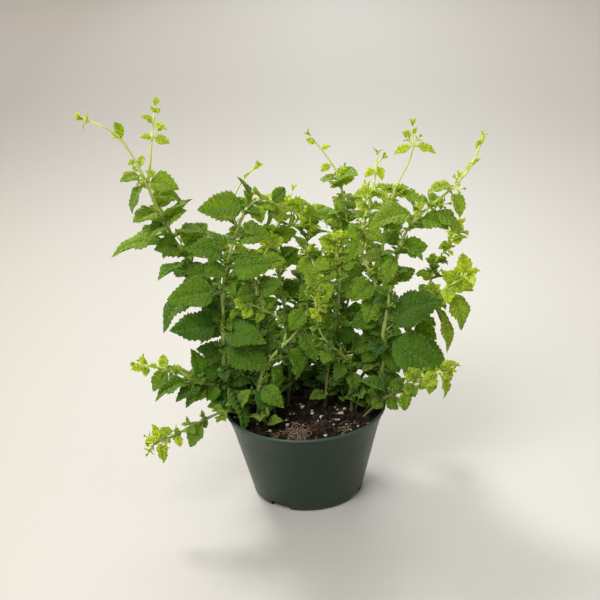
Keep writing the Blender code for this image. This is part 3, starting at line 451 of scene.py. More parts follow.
class LeafSettings(bpy.types.PropertyGroup):
    """Shape and colours of the leaves."""

    thickness: length("Thickness", "Thickness of a blade in its middle", 0.00036)
    puff: FloatProperty(
        name="Puff", description="Height of the quilting, as a share of the leaf's length", default=0.050
    )
    tooth: FloatProperty(
        name="Tooth", description="Depth of the teeth, as a share of half the width", default=0.17
    )
    mature: paint("Mature Leaf", "Colour of the old leaves", (0.155, 0.420, 0.018))
    fresh: paint("Fresh Leaf", "Colour of the young leaves at the tips", (0.82, 0.95, 0.110))


class StageSettings(bpy.types.PropertyGroup):
    """Camera and light."""

    elevation: FloatProperty(
        name="Elevation", description="How far the camera looks down", default=radians(21.95), subtype="ANGLE"
    )
    roll: FloatProperty(
        name="Roll", description="How far the camera leans", default=radians(-2.5), subtype="ANGLE"
    )
    distance: length("Distance", "From the camera to its aim", 0.900)
    lens: FloatProperty(name="Lens", description="Focal length, in mm, on a 36 mm sensor", default=78.18)
    aim: FloatVectorProperty(
        name="Aim", description="What the camera looks at", default=(-0.0005, 0.0, 0.145), subtype="XYZ"
    )
    key_power: FloatProperty(
        name="Key Power", description="Power of the soft key light", default=284.0, unit="POWER"
    )
    sky_strength: FloatProperty(name="Sky", description="Strength of the even light all round", default=0.43)


# ---------------------------------------------------------------- lines and meshes


def resample(line, step):
    """The same line, with its points about one step apart."""
    spans = [(b - a).length for a, b in zip(line, line[1:])]
    total = sum(spans)
    count = max(2, round(total / step))
    even = [line[0]]
    walked = 0.0
    span = 0
    for k in range(1, count):
        target = total * k / count
        while walked + spans[span] < target:
            walked += spans[span]
            span += 1
        even.append(line[span].lerp(line[span + 1], (target - walked) / spans[span]))
    even.append(line[-1])
    return even


def smooth_line(points, steps):
    """A Catmull-Rom curve through some points, in so many steps from each to the next."""
    ends = [2 * points[0] - points[1], *points, 2 * points[-1] - points[-2]]
    fine = []
    for a, b, c, d in zip(ends, ends[1:], ends[2:], ends[3:]):
        for k in range(steps):
            t = k / steps
            bend = (2 * a - 5 * b + 4 * c - d) * t * t + (3 * b - a - 3 * c + d) * t ** 3
            fine.append((2 * b + (c - a) * t + bend) * 0.5)
    fine.append(points[-1])
    return fine


def point_at(line, share):
    """The point and the direction at a share of a line of even points."""
    place = min(share, 0.985) * (len(line) - 1)
    k = min(int(place), len(line) - 2)
    return line[k].lerp(line[k + 1], place - k), (line[k + 1] - line[k]).normalized()


def shoot_line(shoot, step):
    """The middle line of a shoot. A side shoot begins in the middle of the stem that it grows from."""
    route = [Vector(point) * MM for point in shoot.route]
    if shoot.parent is not None:
        route.insert(0, point_at(shoot_line(SHOOTS[shoot.parent], CAD_STEM_STEP), shoot.fork)[0])
    return resample(smooth_line(route, 12), step)


def paint_points(mesh, tints):
    """Gives each point of a mesh four numbers that its material reads."""
    layer = mesh.attributes.new("tint", "FLOAT_COLOR", "POINT")
    layer.data.foreach_set("color", tints.astype(np.float32).ravel())


class Growth:
    """Collects the parts of one piece: points, faces, a leaf map, a tint and a material for each."""

    def __init__(self):
        self.parts = []
        self.count = 0

    def add(self, points, faces, maps, tints, slot):
        """Adds one closed part. Each face is four point numbers, and a triangle repeats its last one."""
        self.parts.append((points, faces + self.count, maps, tints, np.full(len(faces), slot)))
        self.count += len(points)

    def mesh(self, name):
        """One smooth mesh of all the parts."""
        points, quads, maps, tints, slots = (np.concatenate(kind) for kind in zip(*self.parts))
        corners = np.where(quads[:, 2] == quads[:, 3], 3, 4)
        loops = quads.ravel()[np.tile([True, True, True, False], len(quads)) | np.repeat(corners == 4, 4)]
        mesh = bpy.data.meshes.new(name)
        mesh.vertices.add(len(points))
        mesh.vertices.foreach_set("co", points.astype(np.float32).ravel())
        mesh.loops.add(len(loops))
        mesh.loops.foreach_set("vertex_index", loops.astype(np.int32))
        mesh.polygons.add(len(quads))
        starts = np.concatenate([[0], np.cumsum(corners)[:-1]])
        mesh.polygons.foreach_set("loop_start", starts.astype(np.int32))
        mesh.polygons.foreach_set("material_index", slots.astype(np.int32))
        mesh.update(calc_edges=True)
        layer = mesh.uv_layers.new(name="leaf_map")
        layer.data.foreach_set("uv", maps[loops].astype(np.float32).ravel())
        paint_points(mesh, tints)
        mesh.validate()
        mesh.shade_smooth()
        return mesh


def ring_faces(rows, sides):
    """Faces of a closed skin through rings, with a fan at each end round one last point."""
    k = np.arange(sides)
    n = (k + 1) % sides
    starts = (np.arange(rows - 1) * sides)[:, None]
    skin = np.stack([starts + k, starts + n, starts + sides + n, starts + sides + k], -1).reshape(-1, 4)
    low = np.full(sides, rows * sides)
    foot = np.stack([n, k, low, low], -1)
    top = (rows - 1) * sides
    high = low + 1
    tip = np.stack([top + k, top + n, high, high], -1)
    return np.concatenate([skin, foot, tip])


def add_tube(growth, line, radii, tints, slot):
    """A closed tube with a rounded square section, without twist along its line."""
    sides = 12
    angles = 2 * pi * np.arange(sides) / sides
    bulge = 1.0 + 0.10 * np.cos(4 * angles)
    side = Vector((1.0, 0.0, 0.0))
    rings = []
    for k, point in enumerate(line):
        ahead = (line[min(k + 1, len(line) - 1)] - line[max(k - 1, 0)]).normalized()
        if abs(side.dot(ahead)) > 0.97:
            side = Vector((0.0, 1.0, 0.0))
        side = (side - ahead * side.dot(ahead)).normalized()
        other = ahead.cross(side)
        around = np.outer(np.cos(angles) * bulge, side) + np.outer(np.sin(angles) * bulge, other)
        rings.append(np.array(point) + around * radii[k])
    points = np.concatenate([*rings, [line[0]], [line[-1]]])
    shades = np.repeat(tints, sides, axis=0)
    shades = np.concatenate([shades, shades[:1], shades[-1:]])
    maps = np.full((len(points), 2), 0.5)
    growth.add(points, ring_faces(len(line), sides), maps, shades, slot)


# ---------------------------------------------------------------- leaves


def blade_shape(share):
    """Half the width of an ovate blade, 0 at both ends and 1 at its widest."""
    return np.sin(pi * share ** 0.72) ** 0.85


def level_side(ahead, least=0.05):
    """A level direction square to another, or +X where that one is nearly upright."""
    side = ahead.cross(Vector((0.0, 0.0, 1.0)))
    return side.normalized() if side.length > least else Vector((1.0, 0.0, 0.0))


def blade_section(width):
    """Across a blade, from edge to edge on top and back underneath, and which side each point is on."""
    half_columns = int(np.clip(round(width / 0.0024), 2, 8))
    steps = np.append(np.linspace(0.0, 0.92, half_columns), 1.0)
    top = np.concatenate([-steps[::-1], steps[1:]])
    under = top[1:-1][::-1]
    face = np.concatenate([[0.0], np.ones(len(top) - 2), [0.0], -np.ones(len(under))])
    return np.concatenate([top, under]), face


def add_leaf(growth, start, reach, width, roll, fresh, rng, look):
    """One leaf: a petiole that widens into a toothed, quilted and slightly arched blade."""
    length = reach.length
    along = reach / length
    side = level_side(along)
    side.rotate(Matrix.Rotation(radians(roll), 3, along))
    normal = side.cross(along)
    along, side, normal, start = (np.array(v) for v in (along, side, normal, start))

    teeth = int(np.clip(round(length / 0.0034), 3, 12))
    rows = int(np.clip(teeth * 4, 10, 48))
    veins = int(np.clip(round(length / 0.0044), 3, 9))
    petiole_rows = 4
    petiole_share = 0.16
    across, face = blade_section(width)
    sides = len(across)
    out = np.abs(across)

    # Along the blade, as columns: its half width, its teeth, and its middle line.
    share = np.linspace(0.0, 1.0, rows)[:, None]
    half = np.maximum(width / 2 * blade_shape(share), 0.00012)
    beat = (share * teeth + 0.3) % 1.0
    wave = np.where(beat < 0.7, beat / 0.7, (1.0 - beat) / 0.3)
    envelope = np.clip((share - 0.05) * 8.0, 0.0, 1.0) * np.clip((0.985 - share) * 10.0, 0.0, 1.0)
    tooth = look.tooth * (wave - 0.35) * envelope
    bend = 0.06 * length * rng.uniform(-1.0, 1.0)
    droop = length * rng.uniform(0.02, 0.20)
    twist = rng.uniform(-0.25, 0.25)
    ripple = rng.uniform(0.0, 2 * pi, 2)
    fold = rng.uniform(0.05, 0.32)
    ripples = rng.uniform(1.2, 2.4)
    place = petiole_share + (1.0 - petiole_share) * share
    arch = 0.07 * length * np.sin(pi * place)
    sag = droop * (share ** 3) - droop * share * 0.2
    middle = start + place * length * along + (arch - sag) * normal + bend * np.sin(pi * share) * side
    angle = twist * (share - 0.4)
    side_now = np.cos(angle) * side + np.sin(angle) * normal
    normal_now = np.cos(angle) * normal - np.sin(angle) * side

    # Across it: the teeth at its edge, and how far each point lifts off the middle line.
    edge = out ** 3
    wide = half * across * (1.0 + tooth * edge)
    forward = (tooth * 0.9 * length / teeth) * edge
    phase = veins * (share - 0.85 * half / length * out) + 0.35
    pillow = np.abs(np.sin(pi * phase)) ** 0.7
    inside = np.clip(out * 5.0, 0.0, 1.0) * (1.0 - 0.6 * out ** 5)
    ends = np.clip(share * 8.0, 0.0, 1.0) * np.clip((1.0 - share) * 5.0, 0.0, 1.0)
    quilt = look.puff * length * pillow * inside * ends
    waves = np.sin(2 * pi * ripples * share + np.where(across < 0.0, ripple[0], ripple[1]))
    flutter = 0.15 * half * out ** 2 * waves
    lift = fold * half * out + 0.09 * half * np.sin(pi * out)
    valley = -0.07 * half * np.exp(-((across / 0.12) ** 2))
    thin = look.thickness / 2 * (1.0 - 0.5 * share) * face
    rib = np.where(face < 0.0, np.exp(-((across / 0.10) ** 2)), 0.0)
    rib = -rib * (0.00055 * (1.0 - 0.8 * share) * min(1.0, length / 0.03))
    high = quilt + flutter + lift + valley + thin + rib
    blade = middle[:, None, :] + side_now[:, None, :] * wide[:, :, None]
    blade = blade + along * forward[:, :, None] + normal_now[:, None, :] * high[:, :, None]

    turn = pi - 2 * pi * np.arange(sides) / sides
    ring = (0.00042 + 0.010 * length) * (np.outer(np.cos(turn), side) + np.outer(np.sin(turn), normal))
    stalk = np.linspace(0.0, petiole_share * 0.86, petiole_rows)[:, None]
    stalk_line = start + stalk * length * along + 0.07 * length * np.sin(pi * stalk) * normal
    petiole = stalk_line[:, None, :] + ring

    ends = (petiole[0].mean(0)[None], middle[-1][None])
    points = np.concatenate([petiole.reshape(-1, 3), blade.reshape(-1, 3), *ends])
    bare = np.zeros(petiole_rows * sides)
    map_x = np.tile(0.5 + 0.5 * across, petiole_rows + rows)
    map_y = np.concatenate([bare, (phase + 1.0).ravel() / 10.0])
    maps = np.stack([np.append(map_x, [0.5, 0.5]), np.append(map_y, [0.0, 0.9])], -1)
    belly = np.tile(np.where(face < 0.0, 1.0, 0.0), petiole_rows + rows)
    body = np.concatenate([bare, np.repeat(np.clip(share * 9.0, 0.0, 1.0), sides)])
    tone = np.full(len(points), rng.uniform(0.0, 1.0))
    tints = (np.full(len(points), fresh), tone, np.append(belly, [0.0, 0.0]), np.append(body, [0.0, 1.0]))
    growth.add(points, ring_faces(petiole_rows + rows, sides), maps, np.stack(tints, -1), LEAF_SLOT)


def across_pair(ahead, turn):
    """A direction square to a stem, turned about it."""
    side = level_side(ahead, 0.1)
    side.rotate(Matrix.Rotation(turn, 3, ahead))
    return side


def leaf_roll(reach, up):
    """The roll, in degrees, that turns a blade's upper side towards a direction."""
    along = reach.normalized()
    side = level_side(along)
    return atan2(up.dot(side), up.dot(side.cross(along))) * 180.0 / pi


def clear_of_pot(tip):
    """Whether a leaf's tip keeps away from the pot's wall and lip."""
    away = hypot(tip.x, tip.y)
    return tip.z > 0.070 or away > 0.068 or away < 0.046 and tip.z > 0.059


def add_side_stem(growth, line, low, high, fresh, rng):
    """The thin stem of a side shoot. Returns how its first pair of leaves is turned about it."""
    green = np.tile([fresh, rng.uniform(), 0.0, 0.0], (len(line), 1))
    add_tube(growth, line, np.linspace(low, high, len(line)), green, STEM_SLOT)
    return rng.uniform(0.0, pi)


def add_tuft(growth, point, ahead, size, fresh, rng, look):
    """A young side shoot: a short thin stem with pairs of small leaves, each pair square to the last."""
    pairs = int(np.clip(round(size / 0.0035), 1, 4))
    line = [point + ahead * (size * k / pairs) for k in range(pairs + 1)]
    turn = add_side_stem(growth, line, 0.00055, 0.00032, fresh, rng)
    for k in range(1, pairs + 1):
        rest = 1.0 - 0.55 * (k - 1) / max(1, pairs - 1)
        length = min(0.013, 0.35 * size + 0.0036) * rest * rng.uniform(0.75, 1.2)
        spread = rng.uniform(0.8, 1.25) if k < pairs else rng.uniform(0.35, 0.7)
        for half_turn in (0.0, pi):
            side = across_pair(ahead, turn + half_turn)
            reach = (side * sin(spread) + ahead * cos(spread)) * length
            roll = leaf_roll(reach, ahead) + rng.uniform(-15, 15)
            if clear_of_pot(line[k] + reach):
                add_leaf(growth, line[k], reach, length * rng.uniform(0.55, 0.72), roll, fresh, rng, look)
        turn += pi / 2


def add_sprout(growth, foot, ahead, size, leaf, fresh, rng, look):
    """A low side shoot from the soil: a bent stem with pairs of leaves that spread out and hang a little."""
    pairs = max(2, round(size / (0.55 * leaf)))
    line = []
    for k in range(pairs + 1):
        sag = Vector((0.0, 0.0, -0.10 * size * (k / pairs) ** 2))
        line.append(foot + ahead * (size * k / pairs) + sag)
    turn = add_side_stem(growth, line, 0.00095, 0.00055, fresh, rng)
    for k in range(1, pairs + 1):
        spread = rng.uniform(1.0, 1.5) if k < pairs else rng.uniform(0.4, 0.8)
        for half_turn in (0.0, pi):
            side = across_pair(ahead, turn + half_turn)
            reach = (side * sin(spread) + ahead * cos(spread)) * leaf * rng.uniform(0.7, 1.15)
            roll = leaf_roll(reach, Vector((0.0, -0.35, 1.0))) + rng.uniform(-20, 20)
            if clear_of_pot(line[k] + reach):
                width = reach.length * rng.uniform(0.58, 0.74)
                add_leaf(growth, line[k], reach, width, roll, fresh, rng, look)
        turn += pi / 2
        fresh = min(1.0, fresh + 0.12)


# ---------------------------------------------------------------- materials


def give(node, **values):
    """Sets a node's own settings by name, and its sockets' values by their names with underscores."""
    for name, value in values.items():
        if hasattr(node, name):
            setattr(node, name, value)
        else:
            node.inputs[name.replace("_", " ")].default_value = value
    return node


class Nodes:
    """Short calls that add and join the nodes of one tree."""

    def __init__(self, tree):
        self.tree = tree

    def add(self, kind, **values):
        return give(self.tree.nodes.new(kind), **values)

    def join(self, *pairs):
        for out, into in pairs:
            self.tree.links.new(out, into)

    def feed(self, *pairs):
        """Gives each socket a number, a colour or what another socket holds."""
        for socket, value in pairs:
            if isinstance(value, (int, float)):
                socket.default_value = value
            elif isinstance(value, (tuple, list)):
                socket.default_value = (*value, 1.0)
            else:
                self.tree.links.new(value, socket)

    def maths(self, operation, a, b=0.0, clamp=False):
        node = self.add("ShaderNodeMath", operation=operation, use_clamp=clamp)
        self.feed((node.inputs[0], a), (node.inputs[1], b))
        return node.outputs[0]

    def times(self, a, b):
        return self.maths("MULTIPLY", a, b)

    def rest(self, share):
        """What a share leaves of 1, from 0 to 1."""
        return self.maths("SUBTRACT", 1.0, share, clamp=True)

    def above(self, a, b, slope):
        """How far one value is above another, times a slope, from 0 to 1."""
        return self.maths("MULTIPLY", self.maths("SUBTRACT", a, b), slope, clamp=True)

    def blend(self, share, a, b, kind="MIX"):
        node = self.add("ShaderNodeMix", data_type="RGBA", blend_type=kind)
        self.feed((node.inputs[0], share), (node.inputs[6], a), (node.inputs[7], b))
        return node.outputs[2]

    def noise(self, vector, scale, detail=3.0, roughness=0.55):
        node = self.add("ShaderNodeTexNoise", Scale=scale, Detail=detail, Roughness=roughness)
        self.join((vector, node.inputs["Vector"]))
        return node.outputs["Fac"]

    def place(self):
        """Each point's place in the piece's own space."""
        return self.add("ShaderNodeTexCoord").outputs["Object"]

    def tint(self):
        """What the mesh says of each point's colour."""
        return self.add("ShaderNodeAttribute", attribute_name="tint").outputs

    def split(self, kind, source):
        """The three parts of a colour or of a place."""
        node = self.add("ShaderNodeSeparate" + kind)
        self.join((source, node.inputs[0]))
        return node.outputs


def new_material(name):
    material = bpy.data.materials.new(name)
    material.use_nodes = True
    return material, Nodes(material.node_tree), material.node_tree.nodes["Principled BSDF"]


def mottle_group():
    """Uneven colour: two sizes of noise that darken and lighten a colour."""
    old = bpy.data.node_groups.get("Mottle")
    if old:
        return old
    group = bpy.data.node_groups.new("Mottle", "ShaderNodeTree")
    face = group.interface
    face.new_socket("Colour", in_out="INPUT", socket_type="NodeSocketColor")
    for name, value in (("Coarse", 60.0), ("Fine", 700.0), ("Amount", 0.3)):
        socket = face.new_socket(name, in_out="INPUT", socket_type="NodeSocketFloat")
        socket.default_value = value
    face.new_socket("Colour", in_out="OUTPUT", socket_type="NodeSocketColor")
    face.new_socket("Height", in_out="OUTPUT", socket_type="NodeSocketFloat")
    nodes = Nodes(group)
    given = nodes.add("NodeGroupInput").outputs
    result = nodes.add("NodeGroupOutput").inputs
    place = nodes.place()
    coarse = nodes.add("ShaderNodeTexNoise", Detail=2.0)
    fine = nodes.add("ShaderNodeTexNoise", Detail=3.0)
    for size, node in (("Coarse", coarse), ("Fine", fine)):
        nodes.join((place, node.inputs["Vector"]), (given[size], node.inputs["Scale"]))
    both = nodes.maths("ADD", coarse.outputs["Fac"], fine.outputs["Fac"])
    swing = nodes.times(nodes.maths("SUBTRACT", both, 1.0), given["Amount"])
    level = nodes.maths("MAXIMUM", nodes.maths("ADD", nodes.times(swing, 3.0), 1.0), 0.1)
    grey = nodes.add("ShaderNodeCombineColor")
    nodes.join(*((level, grey.inputs[k]) for k in range(3)))
    shaded = nodes.blend(1.0, given["Colour"], grey.outputs[0], "MULTIPLY")
    nodes.join((shaded, result["Colour"]), (fine.outputs["Fac"], result["Height"]))
    return group


def add_mottle(nodes, colour, coarse, fine, amount):
    """The mottled colour, and the fine grain that it follows."""
    node = nodes.add("ShaderNodeGroup", node_tree=mottle_group())
    give(node, Coarse=coarse, Fine=fine, Amount=amount)
    nodes.feed((node.inputs["Colour"], colour))
    return node.outputs["Colour"], node.outputs["Height"]


def add_bump(nodes, shader, height, distance, strength=1.0):
    bump = nodes.add("ShaderNodeBump", Distance=distance, Strength=strength)
    nodes.join((height, bump.inputs["Height"]), (bump.outputs["Normal"], shader.inputs["Normal"]))
    return bump


def add_finish(nodes, shader, colour, grain, swing, least):
    """A colour, and a roughness that varies with the grain."""
    rough = nodes.maths("ADD", nodes.times(grain, swing), least)
    nodes.join((colour, shader.inputs["Base Color"]), (rough, shader.inputs["Roughness"]))


def leaf_material(look):
    """Quilted mint leaf: paler veins, painted shade in a fine net between them, a painted highlight along its
    edge, a pale underside, and light through it.
    """
    material, nodes, shader = new_material("leaf")
    tint = nodes.tint()
    fresh, tone, belly = nodes.split("Color", tint["Color"])
    body = tint["Alpha"]
    leaf_map = nodes.add("ShaderNodeUVMap", uv_map="leaf_map").outputs["UV"]
    map_x, map_y, _ = nodes.split("XYZ", leaf_map)

    beat = nodes.maths("PINGPONG", nodes.times(map_y, 10.0), 0.5)
    reach = nodes.maths("ABSOLUTE", nodes.times(nodes.maths("SUBTRACT", map_x, 0.5), 2.0))
    fade = nodes.maths("SUBTRACT", 1.15, reach, clamp=True)
    side_vein = nodes.times(nodes.rest(nodes.times(beat, 9.0)), fade)
    mid_vein = nodes.rest(nodes.times(reach, 14.0))
    vein = nodes.times(nodes.maths("MAXIMUM", side_vein, mid_vein), body)
    net = nodes.add("ShaderNodeTexVoronoi", feature="DISTANCE_TO_EDGE", Scale=520.0)
    nodes.join((nodes.place(), net.inputs["Vector"]))
    cell = nodes.maths("MULTIPLY", net.outputs["Distance"], 2.6, clamp=True)

    green = nodes.blend(fresh, tuple(look.mature), tuple(look.fresh))
    green = nodes.blend(nodes.times(tone, 0.30), green, (0.24, 0.42, 0.012))
    shade = nodes.times(nodes.times(nodes.rest(fresh), 0.72), nodes.rest(tone))
    green = nodes.blend(shade, green, (0.026, 0.125, 0.018))
    green, grain = add_mottle(nodes, green, 90.0, 500.0, 0.13)
    # Painted shade: the leaf is darkened along the fine net of impressed veins, where shade would fall.
    green = nodes.blend(nodes.times(nodes.rest(cell), 0.16), green, (0.015, 0.05, 0.005))
    green = nodes.blend(nodes.times(vein, 0.52), green, (0.36, 0.56, 0.08))
    # Painted highlight: the edge of each blade is lightened to stand in for light caught by its hairs.
    rim = nodes.times(nodes.times(nodes.above(reach, 0.90, 9.0), body), 0.38)
    green = nodes.blend(rim, green, (0.50, 0.68, 0.12))
    green = nodes.blend(nodes.times(belly, 0.45), green, (0.20, 0.34, 0.05))
    add_finish(nodes, shader, green, grain, 0.25, 0.38)
    give(shader, Specular_IOR_Level=0.30, Sheen_Weight=0.30, Sheen_Roughness=0.35)
    give(shader, Sheen_Tint=(0.85, 1.0, 0.62, 1.0))
    height = nodes.maths("SUBTRACT", cell, nodes.times(vein, 0.5))
    bump = add_bump(nodes, shader, height, 0.0012)

    glow = nodes.add("ShaderNodeBsdfTranslucent")
    light = nodes.blend(1.0, green, (2.3, 2.05, 0.45), "MULTIPLY")
    mix = nodes.add("ShaderNodeMixShader")
    out = material.node_tree.nodes["Material Output"]
    nodes.feed(
        (glow.inputs["Color"], light),
        (glow.inputs["Normal"], bump.outputs["Normal"]),
        (mix.inputs[0], 0.46),
        (mix.inputs[1], shader.outputs[0]),
        (mix.inputs[2], glow.outputs[0]),
        (out.inputs["Surface"], mix.outputs[0]),
    )
    return material


def stem_material(look):
    """Square stem: yellow-green when young, with painted shade that darkens it near the soil, and a faint
    red-brown flush in places.
    """
    material, nodes, shader = new_material("stem")
    fresh = nodes.split("Color", nodes.tint()["Color"])[0]
    green = nodes.blend(fresh, tuple(look.old), tuple(look.young))
    place = nodes.place()
    # Painted shade: the stems are darkened below 110 mm, where the crowded leaves above shade them.
    painted_low_shade = nodes.above(0.110, nodes.split("XYZ", place)[2], 22.0)
    green = nodes.blend(nodes.times(painted_low_shade, 0.8), green, (0.050, 0.060, 0.020))
    flush = nodes.above(nodes.noise(place, 45.0, 2.0), 0.56, 3.0)
    green = nodes.blend(nodes.times(flush, 0.5), green, (0.15, 0.07, 0.045))
    green, grain = add_mottle(nodes, green, 150.0, 1500.0, 0.18)
    add_finish(nodes, shader, green, grain, 0.3, 0.35)
    add_bump(nodes, shader, grain, 0.0002, 0.5)
    return material


def pot_material(look):
    """Moulded satin plastic with a fine grain, a painted highlight on the lip and a little dust."""
    material, nodes, shader = new_material("pot_plastic")
    colour, grain = add_mottle(nodes, tuple(look.colour), 25.0, 1800.0, 0.10)
    place = nodes.place()
    # Painted highlight: the top of the rolled lip is lightened to stand in for light caught along it.
    painted_lip_highlight = nodes.above(nodes.split("XYZ", place)[2], look.height - look.lip, 500.0)
    colour = nodes.blend(nodes.times(painted_lip_highlight, 0.6), colour, (0.060, 0.120, 0.082))
    dust = nodes.above(nodes.noise(place, 140.0, 6.0, 0.7), 0.60, 1.6)
    colour = nodes.blend(dust, colour, (0.10, 0.11, 0.08))
    add_finish(nodes, shader, colour, grain, 0.16, 0.30)
    give(shader, Specular_IOR_Level=0.42)
    add_bump(nodes, shader, grain, 0.0001, 0.35)
    return material


def soil_material(look):
    """Damp peat mix, with redder and blacker patches."""
    material, nodes, shader = new_material("potting_soil")
    place = nodes.place()
    patch = nodes.noise(place, 260.0, 5.0, 0.7)
    mixed = nodes.blend(nodes.times(patch, 0.9), tuple(look.colour), (0.022, 0.016, 0.011))
    mixed = nodes.blend(1.0, mixed, nodes.tint()["Color"], "MULTIPLY")
    mixed, grain = add_mottle(nodes, mixed, 320.0, 1500.0, 0.45)
    nodes.join((mixed, shader.inputs["Base Color"]))
    give(shader, Roughness=0.9, Specular_IOR_Level=0.25)
    add_bump(nodes, shader, nodes.maths("ADD", grain, nodes.noise(place, 900.0, 5.0, 0.7)), 0.0012, 0.9)
    return material


def chip_material():
    """Perlite: chalky white with small pits."""
    material, nodes, shader = new_material("perlite")
    colour, grain = add_mottle(nodes, (0.56, 0.53, 0.46), 260.0, 1500.0, 0.28)
    nodes.join((colour, shader.inputs["Base Color"]))
    give(shader, Roughness=0.95)
    add_bump(nodes, shader, grain, 0.0006, 0.8)
    return material


def bark_material():
    """Shredded bark and coir: light brown to dark red-brown."""
    material, nodes, shader = new_material("bark")
    colour, grain = add_mottle(nodes, nodes.tint()["Color"], 160.0, 1400.0, 0.30)
    nodes.join((colour, shader.inputs["Base Color"]))
    give(shader, Roughness=0.85)
    add_bump(nodes, shader, grain, 0.0005, 0.7)
    return material


# ---------------------------------------------------------------- pieces


def add_piece(name, mesh, materials, *nodes, slot):
    """Links one piece, rides it on the plant's only body, and hides the parts of the model that it stands
    for.
    """
    for material in materials:
        mesh.materials.append(material)
    piece = bpy.data.objects.new(name, mesh)
    bpy.context.scene.collection.objects.link(piece)
    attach(piece, "root")
    if nodes:
        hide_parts(*nodes)
    return piece


def spun_mesh(name, profile, segments):
    """A closed body turned about +Z from a profile of (radius, height) that starts and ends at the axis."""
    bm = bmesh.new()
    turns = [2 * pi * k / segments for k in range(segments)]
    low = bm.verts.new((0.0, 0.0, profile[0][1]))
    high = bm.verts.new((0.0, 0.0, profile[-1][1]))
    rows = [[bm.verts.new((r * cos(a), r * sin(a), z)) for a in turns] for r, z in profile[1:-1]]
    for k in range(segments):
        n = (k + 1) % segments
        bm.faces.new((low, rows[0][n], rows[0][k]))
        bm.faces.new((high, rows[-1][k], rows[-1][n]))
        for inner, outer in zip(rows, rows[1:]):
            bm.faces.new((inner[k], inner[n], outer[n], outer[k]))
    bmesh.ops.recalc_face_normals(bm, faces=bm.faces)
    mesh = bpy.data.meshes.new(name)
    bm.to_mesh(mesh)
    bm.free()
    return mesh


def between(start, end, shares):
    """Points on the straight line from one point of a profile to another."""
    (x, z), (to_x, to_z) = start, end
    return [(x + (to_x - x) * share, z + (to_z - z) * share) for share in shares]


def pot_profile(pot):
    """Outside from the middle of the underside up to the rolled lip, then down the inside to the floor."""
    foot_height = 4.0 * MM
    floor_height = 1.8 * MM
    round_lip = pot.lip / 2
    lip_x, lip_z = pot.rim_radius - round_lip, pot.height - round_lip
    foot = []
    for k in range(9):
        angle = pi / 2 * k / 8
        spread = (pot.base_radius - pot.foot_radius) * sin(angle)
        foot.append((pot.foot_radius + spread, foot_height * (1 - cos(angle))))
    step = []
    for out, up in ((-0.20, -1.2), (-0.05, -0.6), (0.25, 0.0), (0.50, 1.2)):
        step.append((pot.step_radius + out * MM, pot.step_height + up * MM))
    wall = between((pot.base_radius, foot_height), step[0], [k / 12 for k in range(1, 12)])
    band = between(step[-1], (lip_x, lip_z - round_lip), [k / 7 for k in range(1, 7)])
    roll = []
    for k in range(15):
        angle = -pi / 2 + 1.5 * pi * k / 14
        roll.append((lip_x + round_lip * cos(angle), lip_z + round_lip * sin(angle)))
    top_inside = (lip_x - pot.wall, pot.height - pot.lip)
    step_inside = (pot.step_radius - pot.wall, pot.step_height)
    low_inside = (pot.base_radius - pot.wall, foot_height + 1.0 * MM)
    inside = between(top_inside, step_inside, [k / 6 for k in range(1, 7)])
    inside += between(step_inside, low_inside, [k / 8 for k in range(1, 8)])
    floor = [(pot.foot_radius - 0.5 * MM, floor_height), (0.0, floor_height)]
    return [(0.0, 0.0), *foot, *wall, *step, *band, *roll, *inside, *floor]


def drain_cutter(pot, angle):
    """A rounded block that cuts one drain slot in the pot's bottom edge."""
    bm = bmesh.new()
    bmesh.ops.create_cube(bm, size=1.0)
    bmesh.ops.scale(bm, verts=bm.verts, vec=DRAIN_BLOCK)
    upright = [e for e in bm.edges if abs((e.verts[0].co - e.verts[1].co).normalized().x) > 0.9]
    bmesh.ops.bevel(bm, geom=upright, offset=1.2 * MM, segments=5, affect="EDGES", profile=0.5)
    bmesh.ops.translate(bm, verts=bm.verts, vec=(pot.base_radius, 0.0, 0.0))
    bmesh.ops.rotate(bm, verts=bm.verts, matrix=Matrix.Rotation(angle, 3, "Z"))
    mesh = bpy.data.meshes.new("drain_slot")
    bm.to_mesh(mesh)
    bm.free()
    cutter = bpy.data.objects.new("drain_slot", mesh)
    bpy.context.scene.collection.objects.link(cutter)
    return cutter


class MINT_OT_pot(bpy.types.Operator):
    """Builds the nursery pot, with its step, rolled lip and drain slots"""

    bl_idname = "mint.pot"
    bl_label = "Nursery Pot"

    def execute(self, context):
        pot = context.scene.mint_pot
        mesh = spun_mesh("nursery_pot", pot_profile(pot), 192)
        piece = add_piece("nursery_pot", mesh, [pot_material(pot)], "pot", slot="pot_plastic")
        cutters = [drain_cutter(pot, FIRST_DRAIN + pi / 2 * k) for k in range(4)]
        for cutter in cutters:
            boolean = piece.modifiers.new("drain_slot", "BOOLEAN")
            boolean.operation = "DIFFERENCE"
            boolean.solver = "EXACT"
            boolean.object = cutter
        bake_modifiers(piece)
        for cutter in cutters:
            bpy.data.objects.remove(cutter, do_unlink=True)
        piece.data.shade_smooth()
        piece.data.set_sharp_from_angle(angle=radians(38))
        return {"FINISHED"}


def bake_modifiers(piece):
    """Makes a piece's modifiers part of its mesh."""
    graph = bpy.context.evaluated_depsgraph_get()
    mesh = bpy.data.meshes.new_from_object(piece.evaluated_get(graph))
    piece.modifiers.clear()
    piece.data = mesh


def soil_height(x, y):
    """How far the soil's surface stands above its mean level."""
    p = Vector((x, y, 0.0))
    return sum(rise * MM * noise.noise(p * scale) for rise, scale in SOIL_WAVES)


